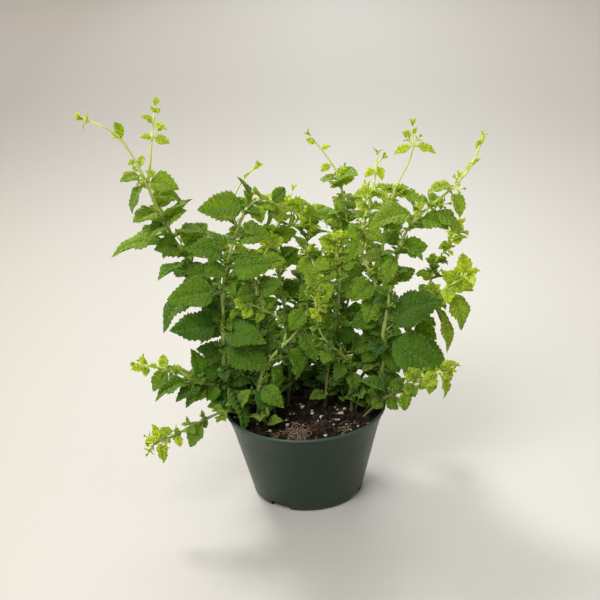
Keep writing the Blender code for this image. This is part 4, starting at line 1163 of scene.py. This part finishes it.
def lump(growth, centre, size, tint, rng, flat=0.75, rows=6):
    """A small uneven grain."""
    sides = 8
    squash = Vector((rng.uniform(0.7, 1.2), rng.uniform(0.7, 1.2), rng.uniform(0.6, 1.0) * flat)) * size
    spin = Matrix.Rotation(rng.uniform(0, 2 * pi), 3, "Z")
    turn = np.array(spin @ Matrix.Rotation(rng.uniform(-0.6, 0.6), 3, "X"))
    polar = pi * (np.arange(rows) + 0.5) / rows
    around = 2 * pi * np.arange(sides) / sides
    x = np.outer(np.sin(polar), np.cos(around))
    y = np.outer(np.sin(polar), np.sin(around))
    z = np.outer(-np.cos(polar), np.ones(sides))
    ball = np.stack([x, y, z], -1).reshape(-1, 3)
    ball = ball * (1.0 + rng.uniform(-0.30, 0.30, (len(ball), 1)))
    ball = np.concatenate([ball, [[0.0, 0.0, -0.95], [0.0, 0.0, 0.95]]])
    points = (ball * np.array(squash)) @ turn.T + np.array(centre)
    maps = np.full((len(points), 2), 0.5)
    growth.add(points, ring_faces(rows, sides), maps, np.tile(tint, (len(points), 1)), 0)


def soil_profile(pot, soil):
    """The root ball from the middle of its underside, inside the pot's wall, to the middle of its top."""
    under = 2.2 * MM
    foot_height = 4.0 * MM
    profile = [(0.0, under), (pot.foot_radius - 1.6 * MM, under)]
    for height in (6 * MM, 20 * MM, 36 * MM, pot.step_height):
        share = (height - foot_height) / (pot.step_height - foot_height)
        radius = pot.base_radius + (pot.step_radius - pot.base_radius) * share
        profile.append((radius - pot.wall - 0.6 * MM, height))
    profile.append((soil.radius, soil.top - 1.5 * MM))
    rings = 46
    for k in range(rings):
        profile.append((soil.radius * (rings - k) / rings - 0.2 * MM, soil.top))
    profile.append((0.0, soil.top))
    return profile


def strewn(radius, rng):
    """An even random place on a round patch of soil."""
    away = radius * rng.uniform() ** 0.5
    angle = rng.uniform(0, 2 * pi)
    return away * cos(angle), away * sin(angle)


class MINT_OT_soil(bpy.types.Operator):
    """Builds the soil, its crumbs, perlite chips, bark and fibres"""

    bl_idname = "mint.soil"
    bl_label = "Potting Soil"

    def execute(self, context):
        soil = context.scene.mint_soil
        rng = np.random.default_rng(11)
        mesh = spun_mesh("soil_body", soil_profile(context.scene.mint_pot, soil), 160)
        for vertex in mesh.vertices:
            if vertex.co.z > soil.top - 0.5 * MM:
                vertex.co.z += soil_height(vertex.co.x, vertex.co.y)
        paint_points(mesh, np.ones(4 * len(mesh.vertices)))
        mesh.shade_smooth()
        earth = soil_material(soil)
        add_piece("soil_body", mesh, [earth], "soil", slot="potting_soil")
        for name, pieces, finish in (
            ("soil_crumbs", self.crumbs(soil, rng), earth),
            ("perlite_chips", self.chips(soil, rng), chip_material()),
            ("bark_and_fibres", self.bark(soil, rng), bark_material()),
        ):
            add_piece(name, pieces.mesh(name), [finish], slot="potting_soil")
        return {"FINISHED"}

    def crumbs(self, soil, rng):
        """Crumbs of peat and bark, a little banked up against the pot."""
        crumbs = Growth()
        for _ in range(soil.crumbs):
            x, y = strewn(soil.radius - 1.2 * MM, rng)
            size = 0.5 * MM + rng.uniform() ** 2.6 * 2.9 * MM
            bank = 1.2 * MM * max(0.0, (hypot(x, y) / soil.radius - 0.8) * 5)
            z = soil.top + soil_height(x, y) + bank + size * 0.25
            shade = rng.uniform(0.5, 1.9)
            red = rng.uniform(0.9, 1.5)
            lump(crumbs, (x, y, z), size, (shade * red, shade, shade * 0.85, 1.0), rng)
        return crumbs

    def chips(self, soil, rng):
        """The perlite chips that show best, each in its place, and small ones strewn about."""
        chips = Growth()
        white = (1, 1, 1, 1)
        for x, y, size in PERLITE:
            x, y = x * MM, y * MM
            z = soil.top + soil_height(x, y) + 1.3 * MM
            lump(chips, (x, y, z), size * MM * 0.62, white, rng, flat=0.7, rows=7)
        for _ in range(soil.chips):
            x, y = strewn(soil.radius - 2.5 * MM, rng)
            size = (0.45 + 0.9 * rng.uniform() ** 2) * MM
            z = soil.top + soil_height(x, y) + 0.9 * MM
            lump(chips, (x, y, z), size, white, rng, flat=0.8)
        return chips

    def bark(self, soil, rng):
        """Single fibres all over the soil, and clumps of shredded bark and coir."""
        bark = Growth()
        for _ in range(soil.fibres):
            x, y = strewn(soil.radius - 5 * MM, rng)
            size = rng.uniform(3, 9) * MM
            add_fibre(bark, x, y, soil.top, size, fibre_radius(rng), rng, (0.16, 0.09, 0.045))
        for x, y, spread, count, colour in CLUMPS:
            for _ in range(count):
                dx, dy, dz = rng.normal(0.0, 1.0, 3) * spread * MM
                size = rng.uniform(1.2, 3.2) * spread * MM
                rise = soil.top + abs(dz) * 0.9
                add_fibre(bark, x * MM + dx, y * MM + dy, rise, size, fibre_radius(rng), rng, colour)
            for _ in range(count // 3):
                dx, dy = rng.normal(0.0, 0.8, 2) * spread * MM
                z = soil.top + soil_height(x * MM + dx, y * MM + dy) + 1.2 * MM
                shade = np.array([*colour, 1.0]) * rng.uniform(0.25, 0.8)
                lump(bark, (x * MM + dx, y * MM + dy, z), rng.uniform(0.8, 2.0) * MM, shade, rng)
        return bark


def fibre_radius(rng):
    return rng.uniform(0.12, 0.30) * MM


def add_fibre(growth, x, y, top, length, radius, rng, colour):
    """One bent fibre that lies on the soil."""
    heading = rng.uniform(0, 2 * pi)
    turn = rng.uniform(-0.5, 0.5)
    line = []
    count = 7
    for k in range(count):
        z = top + soil_height(x, y) + 1.0 * MM + 0.8 * MM * sin(pi * k / (count - 1)) * rng.uniform(0.5, 1.5)
        line.append(Vector((x, y, z)))
        x += length / count * cos(heading)
        y += length / count * sin(heading)
        heading += turn
    shade = rng.uniform(0.5, 1.5)
    tint = (*(part * shade for part in colour), 1.0)
    add_tube(growth, line, np.full(count, radius), np.tile(tint, (count, 1)), 0)


class MINT_OT_plant(bpy.types.Operator):
    """Grows every stem with its small leaves, and each large leaf as a piece of its own"""

    bl_idname = "mint.plant"
    bl_label = "Stems and Leaves"

    def execute(self, context):
        look = context.scene.mint_leaf
        stem = context.scene.mint_stem
        leaf_finish = leaf_material(look)
        stem_finish = stem_material(stem)
        growths = {}
        owner = {}
        for order, (name, shoot) in enumerate(SHOOTS.items()):
            rng = np.random.default_rng(100 + order)
            cad_line = shoot_line(shoot, CAD_STEM_STEP)
            owner[name] = name if shoot.parent is None else owner[shoot.parent]
            if shoot.parent is None:
                growths[name] = Growth()
            growth = growths[owner[name]]
            self.grow_stem(growth, name, cad_line, stem, rng)
            self.grow_leaves(growth, name, cad_line, look, leaf_finish, rng)
        for name, growth in growths.items():
            mesh = growth.mesh("mint_stem_" + name)
            add_piece("mint_stem_" + name, mesh, [leaf_finish, stem_finish], "stem_" + name, slot="stem")
        return {"FINISHED"}

    def grow_stem(self, growth, name, cad_line, stem, rng):
        """A square stem that thins to its tip, with a small knot where each leaf leaves it."""
        shoot = SHOOTS[name]
        line = resample(smooth_line(cad_line, 6), stem.step)
        if shoot.parent is None:
            foot = line[0].copy()
            foot.z = CAD_SOIL_TOP
            line = [foot, *line]
        share = np.linspace(0.0, 1.0, len(line))
        low, high = (radius * MM for radius in shoot.thick)
        radii = low + (0.75 * high - low) * share
        for leaf in shoot.leaves:
            knot = np.exp(-(((share - leaf.at) * len(line) / 1.3) ** 2))
            radii += 0.35 * MM * knot * min(1.0, abs(leaf.width) / 14)
        radii[-1] *= 0.6
        first, last = fresh_at(name, 0.0), fresh_at(name, 1.0)
        fresh = first + (last - first) * share
        none = np.zeros(len(line))
        tints = np.stack([fresh, np.full(len(line), rng.uniform()), none, none], -1)
        add_tube(growth, line, radii, tints, STEM_SLOT)

    def grow_leaves(self, growth, name, cad_line, look, leaf_finish, rng):
        """A shoot's own leaves with their tufts, then its low shoots, frills, middling leaves and tip."""
        shoot = SHOOTS[name]
        for number, leaf in enumerate(shoot.leaves, 1):
            point, ahead = point_at(cad_line, leaf.at)
            reach = Vector(leaf.reach) * MM
            width = leaf.width * MM
            if name in CLOSED_TIPS and leaf.at > CLOSED_TIPS[name]:
                reach = (ahead + reach.normalized() * 0.30).normalized() * reach.length
                width *= 0.55
            radius = (shoot.thick[0] + (shoot.thick[1] - shoot.thick[0]) * leaf.at) * MM
            along = reach.normalized()
            fresh = leaf_freshness(name, leaf, rng)
            big = reach.length >= BIG_LEAF
            start = point
            if big:
                across = max(0.5, along.cross(ahead).length)
                tip = point + along * ((radius + 0.9 * MM) / across) + reach
                start = point + along * (radius * 0.5)
                reach = tip - start
            target = Growth() if big else growth
            add_leaf(target, start, reach, width, leaf.roll, fresh, rng, look)
            if big:
                node = f"leaf_{name}_{number}"
                add_piece("mint_" + node, target.mesh("mint_" + node), [leaf_finish], node, slot="leaf")
            if reach.length > 0.011:
                heading = (along * rng.uniform(0.5, 0.9) + ahead).normalized()
                size = rng.uniform(0.0035, 0.010) * (1.2 if big else 1.0)
                add_tuft(growth, point + ahead * radius, heading, size, min(1.0, fresh + 0.35), rng, look)
        for x, y, lean_x, lean_y, size, leaf_size in SPROUTS.get(name, ()):
            foot = Vector((x * MM, y * MM, CAD_SOIL_TOP))
            heading = Vector((lean_x, lean_y, 1.0)).normalized()
            fresh = rng.uniform(0.05, 0.35)
            add_sprout(growth, foot, heading, size * MM, leaf_size * MM, fresh, rng, look)
        for share in FRILLS.get(name, ()):
            point, ahead = point_at(cad_line, share)
            heading = (across_pair(ahead, rng.uniform(0.0, 2 * pi)) + ahead * 0.5).normalized()
            add_tuft(growth, point, heading, rng.uniform(7.0, 12.0) * MM, 1.0, rng, look)
        if name in FILL:
            self.fill_in(growth, name, cad_line, look, rng)
        tip, ahead = cad_line[-1], (cad_line[-1] - cad_line[-2]).normalized()
        add_tuft(growth, tip - ahead * 0.001, ahead, 0.005, 1.0, rng, look)

    def fill_in(self, growth, name, cad_line, look, rng):
        """The many middling leaves in pairs along a stem, each pair square to the last."""
        low, high, spacing, size = FILL[name]
        length = sum((b - a).length for a, b in zip(cad_line, cad_line[1:]))
        count = max(1, round((high - low) * length / (spacing * MM)))
        turn = rng.uniform(0.0, pi)
        for k in range(count):
            share = low + (high - low) * (k + rng.uniform(0.2, 0.8)) / count
            point, ahead = point_at(cad_line, share)
            fresh = float(np.clip(fresh_at(name, share) + rng.uniform(-0.12, 0.22), 0.0, 1.0))
            for half_turn in (0.0, pi):
                side = across_pair(ahead, turn + half_turn + rng.uniform(-0.3, 0.3))
                lean = rng.uniform(0.1, 0.7)
                along = (side * cos(lean) + ahead * sin(lean)).normalized()
                reach = along * size * MM * rng.uniform(0.6, 1.25)
                if not inside_plant(point + reach) or not clear_of_pot(point + reach):
                    continue
                up = (ahead * 0.8 + Vector((0.0, -0.25, 0.6)) + side * 0.2).normalized()
                roll = leaf_roll(reach, up) + rng.uniform(-25, 25)
                add_leaf(growth, point, reach, reach.length * rng.uniform(0.55, 0.75), roll, fresh, rng, look)
                heading = (side * rng.uniform(0.4, 1.0) + ahead).normalized()
                add_tuft(growth, point, heading, rng.uniform(3.5, 9.0) * MM, min(1.0, fresh + 0.3), rng, look)
            turn += pi / 2


def inside_plant(point):
    """Whether a point is inside the plant's own box."""
    return all(low < value < high for low, value, high in zip(CAD_LOW, point, CAD_HIGH))


def fresh_at(name, share):
    """How young the growth is at a share of a shoot: 0 is old, 1 is a bright young tip."""
    foot, tip = YOUTH.get(name, (0.08, 1.0))
    return foot + (tip - foot) * share ** 2.2


def leaf_freshness(name, leaf, rng):
    """How young one of a shoot's own leaves is: small ones are younger."""
    size = Vector(leaf.reach).length
    young = 0.25 if size < 14 else 0.0
    return float(np.clip(fresh_at(name, leaf.at) + young + rng.uniform(-0.08, 0.12), 0.0, 1.0))


def floor_material():
    """A pale floor with painted shade that makes it warmer and darker towards the left and right, and that
    grows pale again far away.
    """
    material, nodes, shader = new_material("studio_floor")
    colour, _ = add_mottle(nodes, (0.580, 0.571, 0.540), 3.0, 240.0, 0.008)
    place = nodes.place()
    # Painted shade: the floor darkens and warms away from the plant to the left and right, as light falls off
    # towards the edges.
    away = nodes.maths("ABSOLUTE", nodes.maths("SUBTRACT", nodes.split("XYZ", place)[0], 0.12))
    colour = nodes.blend(nodes.above(away, 0.06, 1.9), colour, (0.430, 0.392, 0.350))
    reach = nodes.add("ShaderNodeVectorMath", operation="LENGTH")
    nodes.join((place, reach.inputs[0]))
    colour = nodes.blend(nodes.above(reach.outputs["Value"], 2.4, 0.7), colour, (0.86, 0.82, 0.77))
    nodes.join((colour, shader.inputs["Base Color"]))
    give(shader, Roughness=0.6)
    return material


def add_light(name, kind, place, size, power, colour):
    """A soft light that faces the plant: a square panel, or a round lamp whose beam fades to its edge."""
    data = bpy.data.lights.new(name, kind)
    if kind == "AREA":
        data.shape = "SQUARE"
        data.size = size
    else:
        data.shadow_soft_size = size
        data.spot_size = radians(36)
        data.spot_blend = 1.0
    data.energy = power
    data.color = colour
    light = bpy.data.objects.new(name, data)
    bpy.context.scene.collection.objects.link(light)
    light.location = place
    light.rotation_euler = (Vector(place) - Vector(LIT_POINT)).to_track_quat("Z", "Y").to_euler()


def add_camera(stage):
    """The camera, level but for its roll, looking down at its aim."""
    data = bpy.data.cameras.new("camera")
    data.sensor_width = 36.0
    data.lens = stage.lens
    data.clip_start = 0.01
    camera = bpy.data.objects.new("camera", data)
    bpy.context.scene.collection.objects.link(camera)
    forward = Vector((0.0, cos(stage.elevation), -sin(stage.elevation)))
    up = Vector((0.0, sin(stage.elevation), cos(stage.elevation)))
    right = Vector((1.0, 0.0, 0.0))
    x = right * cos(stage.roll) + up * sin(stage.roll)
    y = up * cos(stage.roll) - right * sin(stage.roll)
    turn = Matrix((x, y, -forward)).transposed().to_4x4()
    place = Vector(stage.aim) - forward * stage.distance
    camera.matrix_world = Matrix.Translation(place) @ turn
    bpy.context.scene.camera = camera


class MINT_OT_stage(bpy.types.Operator):
    """Adds the pale floor, the soft lights and the camera"""

    bl_idname = "mint.stage"
    bl_label = "Studio Stage"

    def execute(self, context):
        stage = context.scene.mint_stage
        bm = bmesh.new()
        bmesh.ops.create_grid(bm, x_segments=60, y_segments=60, size=30.0)
        mesh = bpy.data.meshes.new("studio_floor")
        bm.to_mesh(mesh)
        bm.free()
        mesh.materials.append(floor_material())
        floor = bpy.data.objects.new("studio_floor", mesh)
        context.scene.collection.objects.link(floor)

        world = bpy.data.worlds.new("studio_world")
        world.use_nodes = True
        give(world.node_tree.nodes["Background"], Color=(1.0, 0.96, 0.90, 1.0), Strength=stage.sky_strength)
        context.scene.world = world
        power = stage.key_power
        add_light("key", "SPOT", (-1.28, 2.10, 2.42), 0.38, power, (1.0, 0.98, 0.94))
        add_light("front", "AREA", (-0.55, -0.95, 1.35), 0.90, power * 0.066, (1.0, 0.99, 0.96))
        add_light("back", "AREA", (0.0, 2.2, 1.6), 2.0, power * 0.110, (1.0, 0.99, 0.96))
        add_camera(stage)
        context.scene.view_settings.view_transform = "Standard"
        return {"FINISHED"}


class MINT_PT_panel(bpy.types.Panel):
    """Settings and steps of the mint plant"""

    bl_idname = "MINT_PT_panel"
    bl_label = "Potted Mint"
    bl_space_type = "VIEW_3D"
    bl_region_type = "UI"
    bl_category = "Mint"

    def draw(self, context):
        for step in STEPS:
            self.layout.operator(step)
        for group in GROUPS:
            box = self.layout.box()
            settings = getattr(context.scene, group)
            for name in settings.__annotations__:
                box.prop(settings, name)


STEPS = ("mint.pot", "mint.soil", "mint.plant", "mint.stage")
GROUPS = {
    "mint_pot": PotSettings,
    "mint_soil": SoilSettings,
    "mint_stem": StemSettings,
    "mint_leaf": LeafSettings,
    "mint_stage": StageSettings,
}
CLASSES = (*GROUPS.values(), MINT_OT_pot, MINT_OT_soil, MINT_OT_plant, MINT_OT_stage, MINT_PT_panel)


def register():
    for cls in CLASSES:
        bpy.utils.register_class(cls)
    for name, group in GROUPS.items():
        setattr(bpy.types.Scene, name, PointerProperty(type=group))


def unregister():
    for name in GROUPS:
        delattr(bpy.types.Scene, name)
    for cls in reversed(CLASSES):
        bpy.utils.unregister_class(cls)


def main():
    register()
    bpy.ops.mint.pot()
    bpy.ops.mint.soil()
    bpy.ops.mint.plant()
    bpy.ops.mint.stage()


if __name__ == "__main__":
    main()
